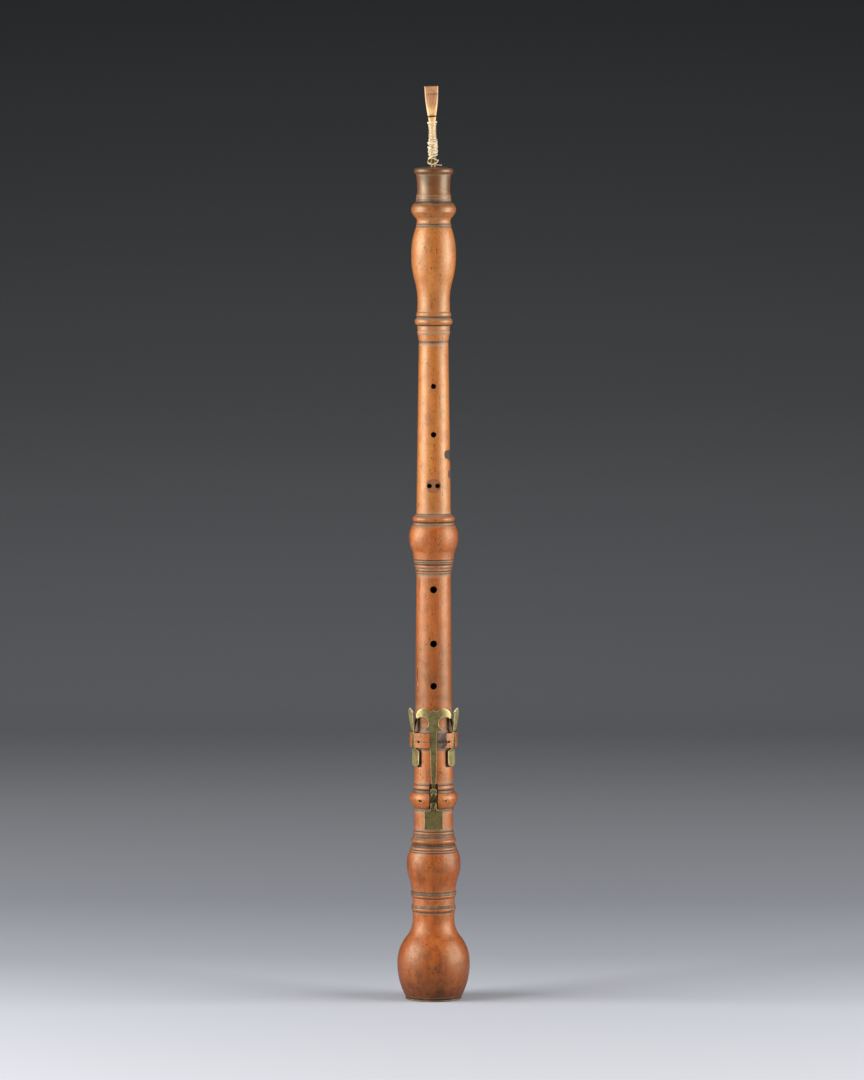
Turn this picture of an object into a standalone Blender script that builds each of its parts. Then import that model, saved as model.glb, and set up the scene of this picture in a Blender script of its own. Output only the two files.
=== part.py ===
# An oboe d'amore: three turned boxwood joints, brass keys on wooden rings, a crook and a bound reed.
# It stands on its bell with the bore along +Z and the finger holes towards -Y.
# Every length below is in millimetres. add_object scales each finished mesh to metres.

import math

import bmesh
import bpy
from mathutils import Matrix, Vector

MM = 0.001

# The three joints, measured between their seams, and the tenons that hold them together.
BELL_LENGTH = 118.0
LOWER_LENGTH = 251.3
TOP_LENGTH = 260.7
LOWER_TENON_LENGTH = 24.0
UPPER_TENON_LENGTH = 26.0
LOWER_TENON_RADIUS = 12.2
UPPER_TENON_RADIUS = 10.6
TENON_COLLAR = 3.0
LAPPING_BED_DEPTH = 0.9
LAPPING_PROUD = 0.1

# Clearances.
SEAM = 0.2
FIT = 0.3
GLUE = 0.2
SOCKET_CLEARANCE = 0.4
PIN_CLEARANCE = 0.2

# Bore radii, from the reed down to the bell, and the hollow of the bulb-shaped bell.
WELL_RADIUS = 4.05
WELL_DEPTH = 22.0
CROWN_RADIUS = 9.0
CROWN_RISE = 0.9
TOP_BORE_RADIUS = 3.05
TOP_BORE_FOOT_RADIUS = 4.9
LOWER_BORE_RADIUS = 5.1
LOWER_BORE_FOOT_RADIUS = 7.9
THROAT_TOP_RADIUS = 8.3
THROAT_RADIUS = 9.0
THROAT_HEIGHT = 60.0
HOLLOW_RADIUS = 21.5
HOLLOW_HEIGHT = 26.0
HOLLOW_SHOULDER_RADIUS = 17.5
HOLLOW_SHOULDER_HEIGHT = 42.0
MOUTH_RADIUS = 14.0
MOUTH_LIP = 3.0
EDGE = 0.6

# Tube radii just above and below the turned ornaments, and the two rings that carry keys.
TOP_TUBE_RADIUS = 11.2
TOP_TUBE_FOOT_RADIUS = 13.05
LOWER_TUBE_RADIUS = 13.1
LOWER_TUBE_FOOT_RADIUS = 14.05
KEY_TUBE_RADIUS = 14.6
FLAP_TUBE_RADIUS = 14.8
KEY_RING_RADIUS = 18.2
KEY_RING_HEIGHT = 11.3
FLAP_RING_RADIUS = 18.45
BASE_RADIUS = 21.35
BELL_RADIUS = 27.55

# Finger holes: distance below the top of their own joint, and diameter.
TOP_HOLES = [(164.0, 3.9), (200.4, 4.2)]
TWIN_HOLE_DROP = 239.1
TWIN_HOLE_DIAMETER = 3.2
TWIN_HOLE_SPACING = 5.9
DISH_RADIUS = 17.0
DISH_DEPTH = 0.8
LOWER_HOLES = [(56.8, 5.4), (97.8, 5.35), (129.8, 5.2)]

# The great key: a long touch lever in the upper ring lifts the head of a second lever, whose flap closes.
TOUCH_PIVOT_RISE = 4.7
TOUCH_PIVOT_DEPTH = 14.2
FLAP_PIVOT_RISE = 6.1
FLAP_PIVOT_DEPTH = 15.2
FLAP_OPEN = math.radians(14.0)
LINK_RISE = 7.8
TAIL_TIP_RISE = 7.0
SHANK_OUTER = 17.3
SHANK_THICKNESS = 1.6
SHANK_HALF_WIDTH = 2.6
SHANK_FOOT_HALF_WIDTH = 1.75
TAIL_HALF_WIDTH = 1.2
TAIL_OUTER = 15.0
TAIL_THICKNESS = 1.1
TOUCH_OUTER = 19.4
TOUCH_THICKNESS = 1.3
WING_BEND_RADIUS = 14.0
WING_CENTRE = (7.2, 13.3)
WING_RADIUS = 6.0
EYE_CENTRE = (8.6, 7.9)
EYE_RADIUS = 4.85
LUG_RADIUS = 1.9
GREAT_SLOT_CLEARANCE = 0.35
FLAP_SLOT_CLEARANCE = 0.6
FLAP_ARM_RISE = 9.4
FLAP_ARM_THICKNESS = 1.65
FLAP_NECK_HALF_WIDTH = 2.65
FLAP_WIDTH = 14.6
FLAP_DROP = 6.9
FLAP_LENGTH = 14.6
FLAP_THICKNESS = 1.3
GREAT_SEAT_DEPTH = 13.6
GREAT_PAD_THICKNESS = 1.5
GREAT_TONE_HOLE_RADIUS = 3.7

# The two side keys, one for each hand's little finger, stand on either side of the great key.
SIDE_KEY_ANGLE = math.radians(57.5)
SIDE_PIVOT_RISE = 6.8
SIDE_PIVOT_DEPTH = 15.5
SIDE_SLOT_HALF_WIDTH = 1.65
SIDE_LEVER_HALF_WIDTH = 1.35
SIDE_LEVER_OUTER = 18.3
SIDE_LEVER_FOOT_OUTER = 17.7
SIDE_TOUCH_FOOT_OUTER = 19.2
SIDE_TOUCH_OUTER = 21.7
SIDE_TOUCH_RISE = 19.4
SIDE_TOUCH_HALF_WIDTH = 2.7
SIDE_FLAP_HALF_WIDTH = 4.6
SIDE_FLAP_DROP = 1.7
SIDE_FLAP_LENGTH = 12.6
SIDE_FLAP_THICKNESS = 1.0
SIDE_FLAP_CORNER = 3.4
SIDE_SEAT_DEPTH = 13.9
SIDE_PAD_THICKNESS = 1.1
SIDE_TONE_HOLE_RADIUS = 2.6
PIN_RADIUS = 0.75
PIN_NUB = 0.9
SIDE_PIN_REACH = 5.8
SPRING_THICKNESS = 0.4
SPRING_HALF_WIDTH = 1.2

# The crook, the reed's staple, the cane and its thread. All of it leans a little in the reed well.
REED_LEAN = math.radians(1.4)
LEAN_HEIGHT = 10.0
CROOK_FOOT_RADIUS = 2.4
CROOK_NECK_RADIUS = 1.8
CROOK_TIP_RADIUS = 1.25
CROOK_WALL = 0.4
CROOK_TAPER_START = -2.0
CROOK_NECK_RISE = 4.0
CROOK_TIP_RISE = 16.0
CROOK_LAPPING_RADIUS = 3.5
STAPLE_FOOT_RISE = 4.6
STAPLE_TOP_RISE = 27.0
STAPLE_FOOT_RADIUS = 2.4
STAPLE_TOP_RADIUS = 1.3
STAPLE_WALL = 0.3
CANE_FOOT_RISE = 21.6
CANE_TIP_RISE = 61.7
CANE_SPLIT = 0.2
WIRE_RISE = 39.0
WIRE_RADIUS = 0.3
THREAD_DIAMETER = 0.7
THREAD_PITCH = 1.2
THREAD_TOP_RISE = 34.2
THREAD_FOOT_RISE = 8.9
THREAD_CORE_RADIUS = 2.4
THREAD_TAIL_RISE = 1.9

# Facets round each turned form.
JOINT_FACETS = 24
TUBE_FACETS = 16
PIN_FACETS = 12
THREAD_STEPS = 16


def arc_between(start, end, bow, steps):
    """Points after start on an arc to end whose middle rises to the left of the way by bow."""
    if steps == 1 or bow == 0.0:
        return [end]
    first, last = Vector(start), Vector(end)
    half_chord = (last - first) / 2
    along = half_chord.normalized()
    outwards = Vector((-along.y, along.x))
    reach = half_chord.length
    radius = (reach * reach + bow * bow) / (2 * bow)
    half_angle = 2 * math.atan(bow / reach)
    centre = (first + last) / 2 - outwards * (radius - bow)
    points = []
    for step in range(1, steps + 1):
        angle = half_angle * (2 * step / steps - 1)
        point = centre + radius * (outwards * math.cos(angle) + along * math.sin(angle))
        points.append((point.x, point.y))
    return points


def line(length, radius):
    """A straight turned stretch. Its length is 0 at a square shoulder."""
    return (length, radius, 0.0, 1)


def curve(length, radius, bow, steps):
    """A turned arc that swells by bow in its middle, or is hollow where bow is negative."""
    return (length, radius, bow, steps)


def groove(radius, depth, after):
    """A fine cut line: in by depth and out again to the radius that follows it."""
    return [line(0.35, radius - depth), line(0.35, after)]


def length_of(stretches):
    return sum(stretch[0] for stretch in stretches)


def turn(start, stretches):
    """Follow stretches downwards from start, as (radius, height) points."""
    outline = [start]
    for length, radius, bow, steps in stretches:
        end = (radius, outline[-1][1] - length)
        outline += arc_between(outline[-1], end, bow, steps)
    return outline


def tenon(length, radius):
    """A tenon below its shoulder: a collar, a sunk bed for the thread, and another collar."""
    bed = radius - LAPPING_BED_DEPTH
    return [
        line(0.0, radius),
        line(TENON_COLLAR, radius),
        line(0.0, bed),
        line(length - 2 * TENON_COLLAR, bed),
        line(0.0, radius),
        line(TENON_COLLAR, radius),
    ]


# The turned ornaments, each from its top to its foot.
LIP_RADIUS = 13.9
FINIAL = [
    curve(4.6, 13.2, 1.25, 3),  # rolled lip
    curve(13.4, 12.4, -0.25, 2),  # waisted cup
    line(3.2, 13.15),
    line(3.4, 13.4),
    line(0.6, 13.1),
    curve(5.5, 17.0, 0.9, 3),  # great bead
    line(2.2, 16.8),
    curve(4.8, 13.3, 0.25, 2),
    line(1.5, 12.7),
    line(2.2, 12.85),
    line(0.3, 13.25),  # fillet under the bead
    line(1.9, 13.3),
    line(0.4, 13.0),
]
BALUSTER = [
    line(0.3, 13.4),
    curve(20.4, 16.87, 1.0, 4),
    curve(18.5, 14.75, 0.65, 3),
    curve(15.5, 12.2, -0.5, 3),
    line(9.4, 12.4),
]
TOP_COLLAR = [
    line(0.3, 12.85),
    curve(3.4, 12.9, 0.4, 2),
    line(0.4, 12.6),
    line(0.9, 13.3),
    curve(5.0, 12.8, 1.3, 4),  # bead
    line(0.3, 12.35),
    line(3.2, 12.3),
    line(0.3, 12.05),
    curve(3.4, 12.0, 0.4, 2),
    line(4.4, 11.3),
    line(0.4, 11.0),
    line(0.4, TOP_TUBE_RADIUS),
]
SOCKET_RIM_RADIUS = 13.4
SOCKET_BULGE = [
    curve(2.0, 15.3, -0.15, 2),
    curve(3.7, 15.4, 0.8, 3),  # bead of the rim
    *groove(15.4, 0.5, 15.4),
    line(1.9, 15.6),
    line(0.3, 16.3),
    curve(9.0, 18.6, 0.65, 3),
    curve(10.7, 16.0, 0.7, 3),
    curve(7.7, 15.2, -0.15, 2),
]
SOCKET_COLLAR = [
    *groove(15.2, 0.6, 14.9),
    line(1.3, 14.7),
    line(0.4, 14.15),
    curve(2.4, 14.0, 0.45, 2),
    line(0.3, 13.6),
    line(1.4, 13.7),
    line(0.4, 13.3),
    line(0.3, 13.6),
    line(1.3, 13.5),
    line(0.4, LOWER_TUBE_RADIUS),
]
KEY_COVE = [curve(3.6, 15.0, -0.3, 2)]
KEY_RING = [
    line(0.0, KEY_RING_RADIUS - FIT),
    line(FIT, KEY_RING_RADIUS),
    line(KEY_RING_HEIGHT - 2 * FIT, KEY_RING_RADIUS),
    line(FIT, KEY_RING_RADIUS - FIT),
    line(0.0, 15.1),
]
KEY_TUBE = [
    line(1.5, 15.1),
    line(0.3, KEY_TUBE_RADIUS),
    line(26.5, 14.9),
]
FLAP_RING_CAP = [
    *groove(14.9, 0.3, 15.1),
    line(1.0, 15.2),
    curve(2.0, 15.2, 0.45, 2),
    *groove(15.2, 0.3, 15.5),
    line(1.8, 15.8),
]
FLAP_RING = [
    line(0.0, 16.3),
    curve(4.6, FLAP_RING_RADIUS, 0.45, 3),
    curve(7.0, 15.6, 0.5, 3),
]
LOWER_FOOT = [
    line(0.3, 15.1),
    line(1.4, 15.2),
    line(0.3, 14.9),
    line(15.6, FLAP_TUBE_RADIUS),
    *groove(FLAP_TUBE_RADIUS, 0.2, 15.3),
    curve(1.8, 15.5, 0.15, 2),
    *groove(15.5, 0.3, 15.6),
    line(1.1, 15.8),
    line(0.3, 15.5),
    curve(1.7, 16.6, -0.2, 2),
    curve(3.2, 16.4, 0.75, 3),  # bead over the bell
    line(0.4, 16.0),
    line(0.7, 16.1),
]
BELL_RIM_RADIUS = 16.3
BELL_SOCKET_BULGE = [
    line(0.9, 16.9),
    *groove(16.9, 0.3, 17.1),
    curve(1.6, 17.6, 0.2, 2),
    *groove(17.6, 0.3, 17.9),
    curve(11.6, 20.45, 0.75, 4),
    curve(11.0, 18.3, 0.6, 3),
    curve(7.9, 16.75, -0.1, 2),
    line(1.4, 16.6),
    line(0.2, 17.1),
    line(1.6, 17.35),
    line(0.3, 16.85),
    curve(2.0, 16.6, 0.3, 2),
    line(0.3, 16.1),
    line(5.7, 16.05),
    line(1.5, 16.8),
    line(0.3, 16.45),
    curve(2.2, 16.7, 0.35, 2),
    line(0.3, 16.3),
    line(1.0, 16.0),
    line(4.2, 15.8),
]
BASE_BEAD = [
    line(0.3, BASE_RADIUS - 0.5),
    line(0.2, BASE_RADIUS - 0.1),
    line(0.8, BASE_RADIUS),
    line(0.3, BASE_RADIUS - 0.25),
]
BELL_BULB_WAIST_RADIUS = 20.2
BELL_BULB_WAIST_LENGTH = 14.7
BELL_BULB_LOWER_LENGTH = 25.4

# The cane: rise above the top joint, half-width, swell and wall. A round stem opens into a flat tip.
CANE_STATIONS = [
    (CANE_FOOT_RISE, 2.22, 2.12, 0.4),
    (28.0, 1.95, 1.9, 0.4),
    (34.5, 2.4, 1.9, 0.45),
    (41.0, 3.4, 1.75, 0.45),
    (48.0, 4.4, 1.45, 0.4),
    (54.0, 4.95, 1.1, 0.3),
    (CANE_TIP_RISE, 5.2, 0.75, 0.18),
]

# Heights that follow from the lengths above.
LOWER_TOP = BELL_LENGTH + LOWER_LENGTH
TOP = LOWER_TOP + TOP_LENGTH
FLAP_RING_FOOT = BELL_LENGTH + SEAM + length_of(LOWER_FOOT)
KEY_RING_FOOT = FLAP_RING_FOOT + length_of(FLAP_RING + FLAP_RING_CAP + KEY_TUBE)
KEY_RING_TOP = KEY_RING_FOOT + KEY_RING_HEIGHT
TOUCH_PIVOT = (-TOUCH_PIVOT_DEPTH, KEY_RING_FOOT + TOUCH_PIVOT_RISE)
SIDE_PIVOT = (-SIDE_PIVOT_DEPTH, KEY_RING_FOOT + SIDE_PIVOT_RISE)
FLAP_PIVOT = (-FLAP_PIVOT_DEPTH, FLAP_RING_FOOT + FLAP_PIVOT_RISE)
LINK_RATIO = (TOUCH_PIVOT[1] - FLAP_PIVOT[1] - LINK_RISE) / LINK_RISE
LEAN_POINT = Vector((0.0, 0.0, TOP - LEAN_HEIGHT))
LEAN = (
    Matrix.Translation(LEAN_POINT)
    @ Matrix.Rotation(-REED_LEAN, 4, "Y")
    @ Matrix.Translation(-LEAN_POINT)
)


def clear_scene():
    for item in list(bpy.data.objects):
        bpy.data.objects.remove(item, do_unlink=True)


def make_material(name, colour, roughness, metallic=0.0):
    material = bpy.data.materials.new(name)
    material.use_nodes = True
    shader = material.node_tree.nodes["Principled BSDF"]
    shader.inputs["Base Color"].default_value = (*colour, 1.0)
    shader.inputs["Roughness"].default_value = roughness
    shader.inputs["Metallic"].default_value = metallic
    return material


def boxwood(name, colour):
    return make_material(name, colour, 0.35)


def brass(name):
    return make_material(name, (0.27, 0.22, 0.10), 0.38, 1.0)


def thread(name):
    return make_material(name, (0.83, 0.72, 0.55), 0.85)


def cane(name):
    return make_material(name, (0.60, 0.36, 0.14), 0.5)


def leather(name):
    return make_material(name, (0.28, 0.20, 0.13), 0.8)


def add_object(name, form, material=None, origin=(0.0, 0.0, 0.0), sharp_angle=35.0):
    """Make an object of a bmesh given in millimetres, with its origin at the point named."""
    bmesh.ops.translate(form, verts=form.verts, vec=-Vector(origin))
    bmesh.ops.scale(form, verts=form.verts, vec=(MM, MM, MM))
    bmesh.ops.recalc_face_normals(form, faces=form.faces)
    mesh = bpy.data.meshes.new(name)
    form.to_mesh(mesh)
    form.free()
    mesh.shade_smooth()
    mesh.set_sharp_from_angle(angle=math.radians(sharp_angle))
    item = bpy.data.objects.new(name, mesh)
    item.location = Vector(origin) * MM
    bpy.context.scene.collection.objects.link(item)
    if material:
        mesh.materials.append(material)
    return item


def add_cutter(name, form):
    cutter = add_object(name, form)
    cutter.hide_render = True
    cutter.display_type = "WIRE"
    return cutter


def combine(item, cutter, operation):
    """Leave a live Boolean of this kind on the object."""
    step = item.modifiers.new(operation.title() + " " + cutter.name, "BOOLEAN")
    step.operation = operation
    step.object = cutter
    step.solver = "EXACT"


def lathe(outline, facets):
    """Spin a closed outline of (radius, height) points round the Z axis."""
    form = bmesh.new()
    ring = [form.verts.new((radius, 0.0, height)) for radius, height in outline]
    for here, there in zip(ring, ring[1:] + ring[:1]):
        form.edges.new((here, there))
    bmesh.ops.spin(
        form,
        geom=form.verts[:] + form.edges[:],
        cent=(0, 0, 0),
        axis=(0, 0, 1),
        angle=math.tau,
        steps=facets,
        use_merge=True,
    )
    bmesh.ops.remove_doubles(form, verts=form.verts, dist=0.0001)
    return form


def prism(outline, place, span):
    """Extrude a closed flat outline through the positions in span. place turns (u, v, w) into a point."""
    form = bmesh.new()
    rows = [[form.verts.new(place(u, v, w)) for u, v in outline] for w in span]
    form.faces.new(rows[0])
    form.faces.new(rows[-1])
    for near, far in zip(rows, rows[1:]):
        for index in range(len(outline)):
            after = (index + 1) % len(outline)
            form.faces.new((near[index], near[after], far[after], far[index]))
    return form


def front_prism(outline, near=-26.0, far=-8.0):
    """Extrude an outline of (x, z) points, seen from the front, through the key's depth."""
    return prism(outline, lambda x, z, y: (x, y, z), (near, far))


def side_prism(outline, half_width, columns=1, bend=lambda x: 0.0):
    """Extrude an outline of (y, z) points, seen from the side, across x, bent back by bend(x)."""
    span = [half_width * (2 * column / columns - 1) for column in range(columns + 1)]
    return prism(outline, lambda y, z, x: (x, y + bend(x), z), span)


def block(low, high):
    form = bmesh.new()
    middle = (Vector(low) + Vector(high)) / 2
    size = Vector(high) - Vector(low)
    bmesh.ops.create_cube(form, size=1.0, matrix=Matrix.Translation(middle) @ Matrix.Diagonal((*size, 1.0)))
    return form


def rod(start, end, radius, facets=PIN_FACETS):
    """A round rod from start to end."""
    form = bmesh.new()
    way = Vector(end) - Vector(start)
    middle = (Vector(start) + Vector(end)) / 2
    place = Matrix.Translation(middle) @ way.to_track_quat("Z", "Y").to_matrix().to_4x4()
    bmesh.ops.create_cone(
        form,
        cap_ends=True,
        segments=facets,
        radius1=radius,
        radius2=radius,
        depth=way.length,
        matrix=place,
    )
    return form


def ball(centre, size, facets=TUBE_FACETS):
    form = bmesh.new()
    place = Matrix.Translation(centre) @ Matrix.Diagonal((*size, 1.0))
    bmesh.ops.create_uvsphere(form, u_segments=facets, v_segments=facets // 2, radius=1.0, matrix=place)
    return form


def circle_points(centre, radius, start, end, steps):
    """Points on a circle from one angle to another, in degrees, both ends included."""
    points = []
    for step in range(steps + 1):
        angle = math.radians(start + (end - start) * step / steps)
        points.append((centre[0] + radius * math.cos(angle), centre[1] + radius * math.sin(angle)))
    return points


def mirrored(half):
    """Close a right-hand half outline with its mirror image. Points on the middle line aren't repeated."""
    return half + [(-x, z) for x, z in reversed(half) if abs(x) > 1e-6]


def swing(point, pivot, angle):
    """Turn a (y, z) point about a pivot so that what lies below it moves outwards."""
    offset = Vector(point) - Vector(pivot)
    y = offset.x * math.cos(angle) + offset.y * math.sin(angle)
    z = -offset.x * math.sin(angle) + offset.y * math.cos(angle)
    return (pivot[0] + y, pivot[1] + z)


def turned_about_bore(form, angle):
    bmesh.ops.rotate(form, verts=form.verts, cent=(0, 0, 0), matrix=Matrix.Rotation(angle, 3, "Z"))
    return form


def hole_cutter(name, height, diameter, reach, across=0.0, angle=0.0):
    """A radial hole from outside the wall into the bore."""
    form = rod((across, -reach, height), (across, 0.0, height), diameter / 2)
    return add_cutter(name, turned_about_bore(form, angle))


def make_top_joint():
    tube = TOP_LENGTH - SEAM - length_of(FINIAL + BALUSTER + TOP_COLLAR)
    outside = turn(
        (LIP_RADIUS, TOP),
        FINIAL
        + BALUSTER
        + TOP_COLLAR
        + [line(tube, TOP_TUBE_FOOT_RADIUS)]
        + tenon(UPPER_TENON_LENGTH, UPPER_TENON_RADIUS),
    )
    inside = [
        (TOP_BORE_FOOT_RADIUS, outside[-1][1]),
        (TOP_BORE_RADIUS, TOP - WELL_DEPTH),
        (WELL_RADIUS, TOP - WELL_DEPTH),
        (WELL_RADIUS, TOP + CROWN_RISE - EDGE),
        (WELL_RADIUS + EDGE, TOP + CROWN_RISE),
        (CROWN_RADIUS, TOP + CROWN_RISE),
    ]
    material = boxwood("boxwood_top", (0.62, 0.32, 0.12))
    joint = add_object("top_joint", lathe(outside + inside, JOINT_FACETS), material)
    reach = TOP_TUBE_FOOT_RADIUS + FIT
    for number, (drop, diameter) in enumerate(TOP_HOLES, 1):
        combine(joint, hole_cutter(f"hole_{number}", TOP - drop, diameter, reach), "DIFFERENCE")
    twin_height = TOP - TWIN_HOLE_DROP
    dish_centre = (0.0, -(TOP_TUBE_FOOT_RADIUS - DISH_DEPTH - FIT) - DISH_RADIUS, twin_height)
    dish = ball(dish_centre, (DISH_RADIUS, DISH_RADIUS, DISH_RADIUS), 32)
    combine(joint, add_cutter("twin_hole_dish", dish), "DIFFERENCE")
    for side, name in ((-0.5, "twin_hole_left"), (0.5, "twin_hole_right")):
        across = side * TWIN_HOLE_SPACING
        cutter = hole_cutter(name, twin_height, TWIN_HOLE_DIAMETER, reach, across)
        combine(joint, cutter, "DIFFERENCE")


def make_lower_joint():
    fixed = SOCKET_BULGE + SOCKET_COLLAR
    keyed = KEY_COVE + KEY_RING + KEY_TUBE + FLAP_RING_CAP + FLAP_RING + LOWER_FOOT
    tube = LOWER_LENGTH - SEAM - length_of(fixed + keyed)
    outside = turn(
        (SOCKET_RIM_RADIUS, LOWER_TOP),
        fixed + [line(tube, LOWER_TUBE_FOOT_RADIUS)] + keyed + tenon(LOWER_TENON_LENGTH, LOWER_TENON_RADIUS),
    )
    socket_floor = LOWER_TOP - UPPER_TENON_LENGTH - SOCKET_CLEARANCE
    socket_radius = UPPER_TENON_RADIUS + SOCKET_CLEARANCE
    inside = [
        (LOWER_BORE_FOOT_RADIUS, outside[-1][1]),
        (LOWER_BORE_RADIUS, socket_floor),
        (socket_radius, socket_floor),
        (socket_radius, LOWER_TOP),
    ]
    material = boxwood("boxwood_lower", (0.55, 0.25, 0.09))
    joint = add_object("lower_joint", lathe(outside + inside, JOINT_FACETS), material)
    for cutter in lower_joint_cutters():
        combine(joint, cutter, "DIFFERENCE")


def lower_joint_cutters():
    """What is cut out of the turned lower joint: key slots, pad seats, pin holes and tone holes."""
    outer = -(KEY_RING_RADIUS + 2.0)
    great_slot = SHANK_HALF_WIDTH + GREAT_SLOT_CLEARANCE
    flap_slot = FLAP_NECK_HALF_WIDTH + FLAP_SLOT_CLEARANCE
    great_floor = -(TOUCH_PIVOT_DEPTH - LUG_RADIUS - FIT)
    flap_floor = -(FLAP_PIVOT_DEPTH - LUG_RADIUS - FIT)
    side_floor = -(SIDE_PIVOT_DEPTH - LUG_RADIUS - FIT)
    cap_top = FLAP_RING_FOOT + length_of(FLAP_RING + FLAP_RING_CAP) + 1.3
    flap_top = FLAP_PIVOT[1] - FLAP_DROP
    seat_foot = flap_top - FLAP_LENGTH - 1.0
    yield add_cutter(
        "great_slot",
        block((-great_slot, outer, KEY_RING_FOOT - 0.6), (great_slot, great_floor, KEY_RING_TOP + 0.6)),
    )
    yield add_cutter("ring_chip", chip_form(great_slot))
    yield add_cutter(
        "flap_slot",
        block((-flap_slot, outer, flap_top - 0.5), (flap_slot, flap_floor, cap_top)),
    )
    yield add_cutter(
        "great_seat",
        block((-FLAP_WIDTH / 2, outer, seat_foot), (FLAP_WIDTH / 2, -GREAT_SEAT_DEPTH, flap_top - 0.2)),
    )
    tone_height = flap_top - FLAP_LENGTH / 2
    yield hole_cutter("great_tone_hole", tone_height, 2 * GREAT_TONE_HOLE_RADIUS, KEY_RING_RADIUS)
    for number, (drop, diameter) in enumerate(LOWER_HOLES, 4):
        yield hole_cutter(f"hole_{number}", LOWER_TOP - drop, diameter, LOWER_TUBE_FOOT_RADIUS + FIT)
    yield pin_cutter("touch_pin_hole", TOUCH_PIVOT, KEY_RING_RADIUS)
    yield pin_cutter("flap_pin_hole", FLAP_PIVOT, FLAP_RING_RADIUS)
    side_flap_top = KEY_RING_FOOT - SIDE_FLAP_DROP
    for name, sign in (("left", -1), ("right", 1)):
        angle = sign * SIDE_KEY_ANGLE
        slot = block(
            (-SIDE_SLOT_HALF_WIDTH, outer, KEY_RING_FOOT - 0.6),
            (SIDE_SLOT_HALF_WIDTH, side_floor, KEY_RING_TOP + 0.6),
        )
        yield add_cutter(name + "_slot", turned_about_bore(slot, angle))
        seat = block(
            (-SIDE_FLAP_HALF_WIDTH - FIT, outer, side_flap_top - SIDE_FLAP_LENGTH - 0.6),
            (SIDE_FLAP_HALF_WIDTH + FIT, -SIDE_SEAT_DEPTH, side_flap_top + 0.4),
        )
        yield add_cutter(name + "_seat", turned_about_bore(seat, angle))
        height = side_flap_top - SIDE_FLAP_LENGTH / 2
        hole = name + "_tone_hole"
        yield hole_cutter(hole, height, 2 * SIDE_TONE_HOLE_RADIUS, KEY_RING_RADIUS, 0.0, angle)
        bore = rod(
            (-sign * (SIDE_PIN_REACH + FIT), *SIDE_PIVOT),
            (sign * KEY_RING_RADIUS, *SIDE_PIVOT),
            PIN_RADIUS + PIN_CLEARANCE,
        )
        yield add_cutter(name + "_pin_hole", turned_about_bore(bore, angle))


def chip_form(slot_edge):
    """The old break in the key ring, to the right of the great key, which bares its pin."""
    top_reach = 7.3
    pin_reach = 7.6
    foot_reach = 5.7
    outline = [
        (slot_edge - 1.0, KEY_RING_TOP + 0.6),
        (slot_edge + top_reach, KEY_RING_TOP + 0.6),
        (slot_edge + pin_reach, TOUCH_PIVOT[1] - 1.0),
        (slot_edge + foot_reach, KEY_RING_FOOT - 0.6),
        (slot_edge - 1.0, KEY_RING_FOOT - 0.6),
    ]
    return front_prism(outline, -KEY_RING_RADIUS - 2.0, -TOUCH_PIVOT_DEPTH + PIN_RADIUS)


def pin_cutter(name, pivot, ring_radius):
    reach = ring_radius
    return add_cutter(name, rod((-reach, *pivot), (reach, *pivot), PIN_RADIUS + PIN_CLEARANCE))


def make_bell():
    socket_floor = BELL_LENGTH - LOWER_TENON_LENGTH - SOCKET_CLEARANCE
    socket_radius = LOWER_TENON_RADIUS + SOCKET_CLEARANCE
    fixed = length_of(BELL_SOCKET_BULGE + BASE_BEAD) + BELL_BULB_WAIST_LENGTH + BELL_BULB_LOWER_LENGTH
    bulb = [
        curve(BELL_BULB_WAIST_LENGTH, BELL_BULB_WAIST_RADIUS, -1.4, 4),
        curve(BELL_LENGTH - fixed, BELL_RADIUS, 2.0, 5),
        curve(BELL_BULB_LOWER_LENGTH, BASE_RADIUS - 0.15, 1.65, 5),
    ]
    outside = turn((BELL_RIM_RADIUS, BELL_LENGTH), BELL_SOCKET_BULGE + bulb + BASE_BEAD)
    lip_top = (MOUTH_RADIUS, MOUTH_LIP)
    widest = (HOLLOW_RADIUS, HOLLOW_HEIGHT)
    shoulder = (HOLLOW_SHOULDER_RADIUS, HOLLOW_SHOULDER_HEIGHT)
    throat = (THROAT_RADIUS, THROAT_HEIGHT)
    inside = [(MOUTH_RADIUS + EDGE, 0.0), (MOUTH_RADIUS, EDGE), lip_top]
    inside += arc_between(lip_top, widest, -1.9, 4)
    inside += arc_between(widest, shoulder, -1.0, 3)
    inside += arc_between(shoulder, throat, 1.0, 3)
    inside += [
        (THROAT_TOP_RADIUS, socket_floor),
        (socket_radius, socket_floor),
        (socket_radius, BELL_LENGTH),
    ]
    add_object("bell", lathe(outside + inside, JOINT_FACETS), boxwood("boxwood_bell", (0.42, 0.15, 0.05)))


def make_lapping(name, shoulder, length, radius):
    """Waxed thread wound in a tenon's bed."""
    top = shoulder - TENON_COLLAR - GLUE
    foot = shoulder - length + TENON_COLLAR + GLUE
    inner = radius - LAPPING_BED_DEPTH + GLUE
    outline = [
        (radius - GLUE, top),
        (radius + LAPPING_PROUD, top - 1.0),
        (radius + LAPPING_PROUD, foot + 1.0),
        (radius - GLUE, foot),
        (inner, foot),
        (inner, top),
    ]
    add_object(name, lathe(outline, JOINT_FACETS), thread(name + "_thread"))


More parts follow.
